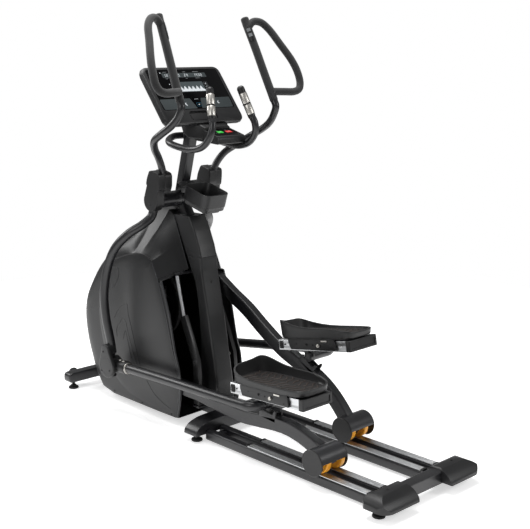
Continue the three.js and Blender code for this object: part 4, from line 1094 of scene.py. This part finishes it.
# ---------------------------------------------------------------- pedal links and pedals
def links():
    for side in SIDES:
        name, sign, place = side["name"], side["sign"], link_place(side)
        body = f"{name}_link"
        path = curve([(LINK_X, -40, -1), (LINK_X, -400, -9), (LINK_X, -865, -LINK_DROP),
                      (LINK_X - 3, -901, -LINK_DROP),
                      (LINK_X - 14, -922, -LINK_DROP), (LINK_X - 36, -LINK_BACK, -LINK_DROP),
                      (LINK_X - 70, -LINK_BACK, -LINK_DROP), (104, -LINK_BACK, -LINK_DROP)], 9)
        bush = lathe([(15, 237), (38, 237), (40, 239), (40, 283), (38, 285), (15, 285), (15, 237)])
        sleeve = sweep([(LINK_X, -36, 0), (LINK_X, -60, -1), (LINK_X, -106, -2)], 30, 36, 4)
        bolts = []
        for y, z in ((-88, 27), (-62, 29)):
            bolt = lathe([(0.1, 0), (7, 0), (7, 4), (0.1, 5)], sides=6)
            bolts.append(moved(bolt, Matrix.Translation((LINK_X + 8, y, z)) @ UPRIGHT))
        arm = sweep(path, 21, 32, 3)
        gussets = [soften(prism(rectangle((-LINK_BACK - 26, -LINK_BACK + 26), (-LINK_DROP, RAIL_Z[0] - 0.3),
                                          4), x), 1)
                   for x in ((110, 118), (203, 211))]
        piece(f"link_tube_{name}", join(arm, *gussets), PAINT, body, place, sign,
              replaces=[f"link_arm_{name}"])
        piece(f"link_joint_{name}", join(bush, sleeve), DARK, body, place, sign)
        piece(f"link_bolts_{name}", join(*bolts), PLATED, body, place, sign)
        ring = sweep([(LINK_X, -104, -2), (LINK_X, -113, -2.2)], 27, 36, 1.5)
        piece(f"link_ring_{name}", ring, PLATED, body, place, sign)
        pedal_rail(name, sign, place, body)


def pedal_rail(name, sign, place, body):
    (x0, x1), (y0, y1), (z0, z1) = RAIL_X, RAIL_Y, RAIL_Z
    outer = [(x0, z0), (x1, z0)]
    for z in (z0 + 12, z0 + 15, z1 - 15, z1 - 12):
        outer.append((x1 if z in (z0 + 12, z1 - 12) else x1 - 1.2, z))
    outer += [(x1, z1), (x1 - 34, z1), (x1 - 34, z1 - 5), (x1 - 5, z1 - 5), (x1 - 5, z0 + 5),
              (x0 + 5, z0 + 5),
              (x0 + 5, z1 - 5), (x0 + 34, z1 - 5), (x0 + 34, z1), (x0, z1)]
    for z in (z1 - 12, z1 - 15, z0 + 15, z0 + 12):
        outer.append((x0 if z in (z0 + 12, z1 - 12) else x0 + 1.2, z))
    channel = soften(prism(outer, (y0 + 22, y1), "y"), 0.7, 1, 50)
    piece(f"rail_channel_{name}", channel, ALUMINIUM, body, place, sign,
          replaces=[f"pedal_rail_{name}"],
          smooth=25)
    cap = soften(prism(rectangle((x0 - 1, x1 + 1), (z0 - 1, z1 + 1), 4), (y0, y0 + 24), "y"), 3, 3)
    inset = prism(rectangle((x0 + 12, x1 - 12), (z0 + 9, z1 - 9), 5), (y0 - 5, y0 + 2.5), "y")
    piece(f"rail_end_{name}", carve(cap, inset), DARK, body, place, sign)
    spans = ((x1 - 1, x1 + 1.2), (x0 - 1.2, x0 + 1))
    hatches = [soften(prism(rectangle((y1 - 27, y1 - 4), (z0 + 6, z1 - 6), 3), x), 0.8) for x in spans]
    piece(f"rail_hatches_{name}", join(*hatches), RUBBER, body, place, sign)
    spans = ((x1 - 1, x1 + 1), (x0 - 1, x0 + 1))
    bolts = [soften(prism(arc(y1 - 37, z0 + 24, 4, 0, 330, 11), x), 0.4) for x in spans]
    piece(f"rail_bolts_{name}", join(*bolts), HIGHLIGHT_AND_TRIM, body, place, sign)
    plug = soften(prism(rectangle((x0 + 5.3, x1 - 5.3), (z0 + 5.3, z1 - 5.3), 3), (y1 - 12, y1 - 2), "y"), 1)
    piece(f"rail_plug_{name}", plug, DARK, body, place, sign)


PEDAL = dict(x=(66, 263), y=(-1198, -794), floor=66)


def pedal_wall(angle):
    """Height of the rim, tallest at the toe and the inner side."""
    toe, inner = max(0, math.sin(angle)), max(0, -math.cos(angle))
    toe *= 1 - 0.55 * max(0, math.cos(angle))
    return 18 + 42 * toe**0.8 + 34 * inner * (0.7 + 0.3 * math.sin(angle))


def pedal_ring(inset, height, count=96):
    """One ring of the pedal shell, inset from its outline; height depends on the angle."""
    (x0, x1), (y0, y1) = PEDAL["x"], PEDAL["y"]
    ring = []
    for t in np.linspace(0, 2 * math.pi, count, endpoint=False):
        c, s = math.cos(t), math.sin(t)
        wide = 1 - 0.05 * max(0, -s) ** 2
        x = (x0 + x1) / 2 + ((x1 - x0) / 2 - inset) * wide * math.copysign(abs(c) ** 0.36, c)
        y = (y0 + y1) / 2 + ((y1 - y0) / 2 - inset) * math.copysign(abs(s) ** 0.42, s)
        ring.append((x, y, PEDAL["floor"] + height(t)))
    return ring


def pedals():
    for side in SIDES:
        name, sign, place = side["name"], side["sign"], link_place(side)
        body = f"{name}_pedal"
        steps = [(16, lambda t: -8), (6, lambda t: -7.5), (3, lambda t: -2), (2.4, lambda t: 4),
                 (2.0, lambda t: 0.25 * pedal_wall(t)), (1.0, lambda t: 0.7 * pedal_wall(t)),
                 (0.2, lambda t: pedal_wall(t) - 2), (1.4, lambda t: pedal_wall(t)),
                 (4.2, lambda t: pedal_wall(t) + 0.3),
                 (6.6, lambda t: pedal_wall(t) - 1.2), (7.6, lambda t: 0.75 * pedal_wall(t)),
                 (8.6, lambda t: 0.35 * pedal_wall(t) + 3), (11, lambda t: 7), (15, lambda t: 5.2),
                 (22, lambda t: 5)]
        shell = loft([pedal_ring(inset, height) for inset, height in steps])
        piece(f"pedal_shell_{name}", shell, PEDAL_FINISH, body, place, sign,
              replaces=[f"pedal_{name}"], smooth=50)
        floor = loft([pedal_ring(13.5, lambda t: 4), pedal_ring(14, lambda t: 7),
                      pedal_ring(16, lambda t: 7.8)])
        piece(f"pedal_mat_{name}", floor, MAT, body, place, sign)
        piece(f"pedal_ribs_{name}", pedal_ribs(), RIB, body, place, sign)
        pedal_carriage(name, sign, place, body)


def pedal_ribs():
    """Curved treads that fan across the mat."""
    (x0, x1), (y0, y1) = PEDAL["x"], PEDAL["y"]
    middle_x, middle_y = (x0 + x1) / 2, (y0 + y1) / 2
    ribs = []
    for k in range(12):
        v = -0.85 + k * 0.15
        y = middle_y + v * (y1 - y0) / 2
        half = ((x1 - x0) / 2 - 22) * (1 - abs(v) ** 5) ** 0.5
        for lane in (-1, 1):
            a, b = (0.08, 0.96) if k % 2 else (0.16, 0.8)
            line = []
            for u in np.linspace(a, b, 9):
                x = middle_x + lane * half * u
                line.append((x, y + 26 * u**2 - 8 + 5 * math.sin(9 * u + k), PEDAL["floor"] + 7.9))
            ribs.append(sweep(line, 3.0, 8, 2.5))
    return join(*ribs)


KNOB = ((0.1, 0), (6.5, 0), (7.5, 1.2), (7.5, 6), (6, 8), (4.6, 8), (3.6, 6.4), (0.1, 6.4))


def pedal_carriage(name, sign, place, body):
    top = RAIL_Z[1] + 0.3
    (x0, x1), (y0, y1) = RAIL_X, (-1130, -862)
    block = soften(prism(rectangle((x0 + 3, x1 - 3), (top, 61), 2), (y0, y1), "y"), 2)
    outline = rounded([(y0, 13), (y0 + 8, 62), (y1 + 4, 62), (y1 + 6, 44), (y1 - 6, 13)], 4)
    sides = [soften(prism(outline, (x1 + 1.5, x1 + 9)), 1.4), soften(prism(outline, (x0 - 9, x0 - 1.5)), 1.4)]
    spans = ((x1 - 6, x1 + 6), (x0 - 6, x0 + 6))
    bridges = [prism(rectangle((y0 + 12, y1 - 8), (top + 1, 60), 1), x) for x in spans]
    piece(f"pedal_block_{name}", join(block, *sides, *bridges), DARK, body, place, sign)
    for face, flip in (("outer", 1), ("inner", -1)):
        x = x1 + 9 if flip > 0 else x0 - 9
        holes = [lathe([(0.1, x - 0.5 * flip), (r, x - 0.5 * flip), (r, x + 0.6 * flip),
                        (r * 0.7, x + 0.6 * flip),
                        (r * 0.6, x), (0.1, x)], y, z, 20)
                 for y, z, r in ((-1105, 24, 3), (-1000, 34, 3.5), (-965, 36, 6), (-905, 38, 3))]
        piece(f"pedal_holes_{name}_{face}", join(*holes), RUBBER, body, place, sign)
        knob = lathe([(r, x + lift * flip) for r, lift in KNOB], -1032, 33, 28)
        piece(f"pedal_knob_{name}_{face}", knob, PLATED, body, place, sign)
        catch = soften(prism(rectangle((-1082, -1050), (49, 55), 2),
                             sorted((x - 0.5 * flip, x + 1.8 * flip))), 0.6)
        piece(f"pedal_catch_{name}_{face}", catch, PLATED, body, place, sign)
        seam = prism(rectangle((-1126, -860), (56.4, 57.2), 0.3, 2), sorted((x - 0.5 * flip, x + 0.5 * flip)))
        piece(f"pedal_seam_{name}_{face}", seam, RUBBER, body, place, sign)


# ---------------------------------------------------------------- connecting arms
DRUM_RADIUS = 53.5
DRUM_BORE = 50.8
ARM_LINE = [(0, 0), (60, 22), (130, 40), (200, 48), (270, 44), (380, 24), (480, 8), (620, 6), (740, 10),
            (860, 2), (1080, 0), (ARM_LENGTH, 0)]


def connecting_arms():
    for side in SIDES:
        name, sign, place = side["name"], side["sign"], arm_place(side)
        body = f"{name}_arm"
        tilt = math.degrees(place.to_euler().x)
        line = curve(ARM_LINE, 8)
        beam = soften(prism(ribbon(line, 30), ARM_X), 9, 4, 30)
        eye = drum(ARM_X, 31, ARM_LENGTH, 0, 3)
        piece(f"arm_beam_{name}", join(beam, eye), PAINT, body, place, sign,
              replaces=[f"connecting_arm_{name}"])
        rear, front = 274, 366
        yoke = rounded([(rear, 50), (front, 50), (front, 86), (356, 90), (350, 79), (290, 79), (284, 98),
                        (rear, 98)], 4)
        cheeks = [soften(prism(yoke, x), 1.2) for x in ((137, 144), (173, 180))]
        piece(f"arm_yoke_{name}", join(*cheeks), PAINT, body, place, sign)
        shell = lathe([(DRUM_BORE, 103), (DRUM_RADIUS, 103), (DRUM_RADIUS, 244), (DRUM_BORE, 244),
                       (DRUM_BORE, 103)], sides=64)
        turn = Matrix.Rotation(math.radians(-tilt - 24), 4, "X")
        window = moved(prism(rectangle((-70, 70), (-90, -17), 1), (103.5, 243.5)), turn)
        core = soften(prism([(-30, -14), (-30, 34), (30, 34), (30, -14)], (138, 179)), 3)
        piece(f"arm_drum_{name}", join(carve(shell, window), core), PAINT, body, place, sign)
        ends = [lathe([(0.1, a), (DRUM_RADIUS - 2.4, a), (DRUM_RADIUS + 0.4, b), (DRUM_RADIUS + 0.4, c),
                       (0.1, c)],
                      sides=64) for a, b, c in ((98, 100.5, 103.3), (249, 246.5, 243.7))]
        piece(f"arm_drum_ends_{name}", join(*ends), DARK, body, place, sign)
        wheels(name, sign, place)


def wheels(name, sign, place):
    """The two orange rollers on their axle."""
    profile = [(8.5, 110)]
    for x in TRACK_X:
        profile += [(22, x - 12), (24, x - 10), (40, x - 10), (42, x - 12), (46.5, x - 12), (49.6, x - 9.5),
                    (50, x - 7)]
        profile += [(50, x + 7), (49.6, x + 9.5), (46.5, x + 12), (42, x + 12), (40, x + 10), (24, x + 10),
                    (22, x + 12)]
        if x == TRACK_X[0]:
            profile += [(12, x + 12), (12, TRACK_X[1] - 12)]
    profile += [(8.5, 213), (8.5, 110)]
    piece(f"orange_rollers_{name}", lathe(profile, sides=64), ORANGE, f"{name}_rollers",
          place, sign,
          replaces=[f"roller_pair_{name}"])
    axle = drum((103.6, 243.4), 8, 0, 0, 1)
    piece(f"axle_rod_{name}", axle, PLATED, f"{name}_carriage", place, sign,
          replaces=[f"roller_axle_{name}"])


def carried_nodes():
    """The inner CAD nodes that stay get finished materials."""
    finishes = {"steel": PLATED, "frame_paint": PAINT, "rubber": RUBBER, "dark_plastic": DARK,
                "aluminium": ALUMINIUM}
    slots_by_node = {s["node"]: s["material_slot"] for s in frame["record"]["subparts"]}
    for node, obj in frame["nodes"].items():
        if obj.hide_render:
            continue
        obj.data.materials.clear()
        obj.data.materials.append(finishes[slots_by_node[node]])


studio()
housing()
spine()
rails()
stabilisers()
feet_and_wheels()
end_caps()
mast()
slots()
tray()
console()
fixed_bar()
swing_arms()
links()
pedals()
connecting_arms()
carried_nodes()
